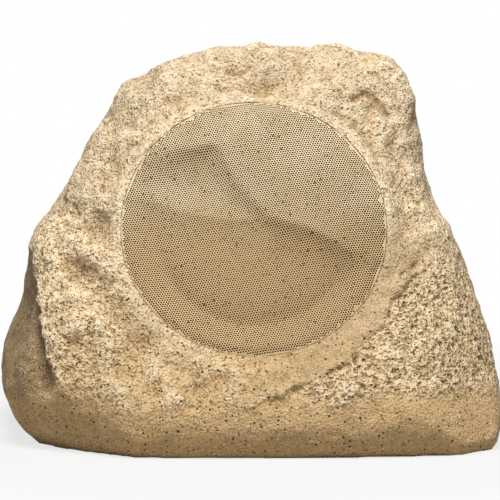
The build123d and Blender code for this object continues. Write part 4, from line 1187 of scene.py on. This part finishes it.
# Crossover board: glass-epoxy sheet with copper tracks under green lacquer, on the plate's posts
TRACK_SPREAD = 0.013
lacquer = Finish("green_lacquer", Roughness=0.36)
track_edge = lacquer.node("ShaderNodeTexVoronoi", {
    "feature": "DISTANCE_TO_EDGE", "voronoi_dimensions": "2D",
}, {"Vector": lacquer.place, "Scale": 1 / TRACK_SPREAD}, "Distance")
track = lacquer.clamp(track_edge, 0.10, 0.06)
board_colour = lacquer.mix(lacquer.mottle(0.012, 3.0), colour(12, 66, 36), colour(18, 80, 44))
coat(lacquer.done(
    Base_Color=lacquer.mix(track, board_colour, colour(52, 118, 62)),
    Normal=lacquer.bump(track, 0.00006),
), "crossover_board")

# Inductor: enamelled copper wire in layers on a black bobbin that stands on the board
BOBBIN_FLANGE = 0.002
INDUCTOR_WIRE = 0.0011
bobbin_low, bobbin_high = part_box("inductor")
inductor = Finish("inductor_winding", Roughness=0.38)
inductor_height = along(inductor, (0, 0, bobbin_low.z), (0, 0, 1))
rings = ripple(inductor, inductor_height, INDUCTOR_WIRE)
between_flanges = inductor.clamp(inductor_height, BOBBIN_FLANGE, BOBBIN_FLANGE + 0.0001) * inductor.clamp(
    inductor_height, bobbin_high.z - bobbin_low.z - BOBBIN_FLANGE,
    bobbin_high.z - bobbin_low.z - BOBBIN_FLANGE - 0.0001,
)
inductor_wire = inductor.mix(inductor.clamp(rings, -0.9, 0.2), colour(96, 44, 18), colour(196, 110, 58))
bobbin_colour = inductor.mix(inductor.mottle(0.006), colour(20, 20, 21), colour(32, 32, 32))
coat(inductor.done(
    Base_Color=inductor.mix(between_flanges, bobbin_colour, inductor_wire),
    Metallic=between_flanges * 0.85, Normal=inductor.bump(rings * between_flanges, 0.0004),
), "inductor")

# Capacitors: aluminium cans in shrunk blue sleeves with a bare pressed top, standing on the board
can_low, can_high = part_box("capacitors")
sleeve = Finish("shrunk_sleeve", Roughness=0.32)
can_height = along(sleeve, (0, 0, can_low.z), (0, 0, 1))
bare_top = sleeve.clamp(can_height, can_high.z - can_low.z - 0.0004, can_high.z - can_low.z - 0.0001)
sleeve_colour = sleeve.mix(sleeve.mottle(0.009, 3.0), colour(22, 34, 80), colour(32, 46, 98))
coat(sleeve.done(
    Base_Color=sleeve.mix(bare_top, sleeve_colour, colour(186, 187, 188)), Metallic=bare_top,
    Normal=sleeve.bump(sleeve.mottle(0.004, 2.0), 0.00015),
), "capacitors")

# Resistor: a wire-wound element cast with cement in a chalky white ceramic trough
cement = Finish("cast_cement", Roughness=0.88)
cement_pores = cement.specks(0.0008, 0.0019, 0.6, cement.place)
cement_colour = cement.mix(cement.mottle(0.005, 4.0), colour(222, 219, 208), colour(198, 193, 180))
coat(cement.done(
    Base_Color=cement.mix(cement_pores * 0.6, cement_colour, colour(142, 136, 124)),
    Normal=cement.bump(cement_pores, -0.0003),
), "resistor")

# Leads: stranded copper in extruded red insulation, from the block's wells to the woofer's tags
# and through the pole to the tweeter
insulation = Finish("lead_insulation", Roughness=0.4)
insulation_cloud = insulation.mottle(0.006, 3.0)
coat(insulation.done(
    Base_Color=insulation.mix(insulation_cloud, colour(120, 24, 22), colour(148, 36, 30)),
    Roughness=insulation_cloud * 0.2 + 0.32, Normal=insulation.bump(insulation.mottle(0.0015), 0.00008),
), "woofer_lead", "tweeter_lead")

# Damping pad: a blanket of crimped polyester fibre glued to the rear wall of the cavity
FIBRES_PER_METRE = 700.0
wadding = Finish("fibre_wadding", Roughness=1.0)
fibre_place = wadding.warped(0.010, 0.006)
fibre = wadding.node("ShaderNodeTexNoise", {}, {
    "Vector": fibre_place, "Scale": FIBRES_PER_METRE, "Detail": 6.0, "Roughness": 0.7,
}, "Fac")
coat(wadding.done(
    Base_Color=wadding.mix(wadding.clamp(fibre, 0.3, 0.7), colour(160, 157, 150), colour(222, 220, 214)),
    Normal=wadding.bump(fibre, 0.0020),
), "damping_pad")

# Stage: a pale floor and backdrop lit by one large soft lamp over the front and a plain room
FLOOR_RADIUS = 1.6
FLOOR_SIDES = 64
ROOM_LEVEL = 0.08
LAMP_SIZE = (1.0, 0.9)
LAMP_POWER = 74.0
LAMP_PLACE = (-0.05, -0.85, 2.2)
LAMP_AIM = Vector((0, 0, 0.15))
SENSOR = 36.0
VIEW_WIDTH = 0.4015
floor_turns = [2 * math.pi * k / FLOOR_SIDES for k in range(FLOOR_SIDES)]
floor_mesh = bpy.data.meshes.new("floor")
floor_mesh.from_pydata(
    [(FLOOR_RADIUS * math.cos(turn), FLOOR_RADIUS * math.sin(turn), 0.0) for turn in floor_turns],
    [], [tuple(range(FLOOR_SIDES))],
)
floor = placed("floor", floor_mesh)
pale = Finish("pale_floor", Roughness=0.95, Base_Color=colour(190, 189, 187))
from_middle = pale.node("ShaderNodeVectorMath", {"operation": "LENGTH"}, {0: pale.place}, "Value")
rays = [
    pale.node("ShaderNodeLightPath", {}, {}, ray)
    for ray in ("Is Camera Ray", "Is Glossy Ray", "Is Transmission Ray")
]
white = pale.node("ShaderNodeEmission", {}, {"Color": (1, 1, 1, 1), "Strength": 1.0})
open_floor = pale.clamp(from_middle, 0.24, 0.55) * 0.25 + 0.75
seen_white = open_floor * (rays[0] + rays[1] + rays[2])
surface = Value(pale, pale.surface.outputs["BSDF"])
floor_look = pale.node("ShaderNodeMixShader", {}, {0: seen_white, 1: surface, 2: white})
pale.put(pale.tree.nodes["Material Output"], {"Surface": floor_look})
floor.data.materials.append(pale.material)

world = bpy.data.worlds.new("room")
bpy.context.scene.world = world
world.use_nodes = True
room = world.node_tree
background = room.nodes["Background"]
background.inputs["Color"].default_value = (1.0, 1.0, 1.0, 1.0)
light_path = room.nodes.new("ShaderNodeLightPath")
direct = light_path.outputs["Is Camera Ray"]
for ray in ("Is Glossy Ray", "Is Transmission Ray"):
    either = room.nodes.new("ShaderNodeMath")
    either.operation = "MAXIMUM"
    room.links.new(direct, either.inputs[0])
    room.links.new(light_path.outputs[ray], either.inputs[1])
    direct = either.outputs["Value"]
room_level = room.nodes.new("ShaderNodeMapRange")
room_level.inputs["To Min"].default_value = ROOM_LEVEL
room_level.inputs["To Max"].default_value = 1.0
room.links.new(direct, room_level.inputs["Value"])
room.links.new(room_level.outputs["Result"], background.inputs["Strength"])

lamp_data = bpy.data.lights.new("soft_lamp", "AREA")
lamp_data.shape = "RECTANGLE"
lamp_data.size, lamp_data.size_y = LAMP_SIZE
lamp_data.energy = LAMP_POWER
lamp = placed("soft_lamp", lamp_data)
lamp.location = LAMP_PLACE
lamp.rotation_euler = (LAMP_AIM - lamp.location).to_track_quat("-Z", "Y").to_euler()

camera_data = bpy.data.cameras.new("camera")
camera_data.sensor_width = SENSOR
camera_data.lens = SENSOR * EYE_DISTANCE / VIEW_WIDTH
camera = placed("camera", camera_data)
camera.location = eye
camera.rotation_euler = (-eye_back).to_track_quat("-Z", "Y").to_euler()
bpy.context.scene.camera = camera
bpy.context.scene.view_settings.view_transform = "Standard"
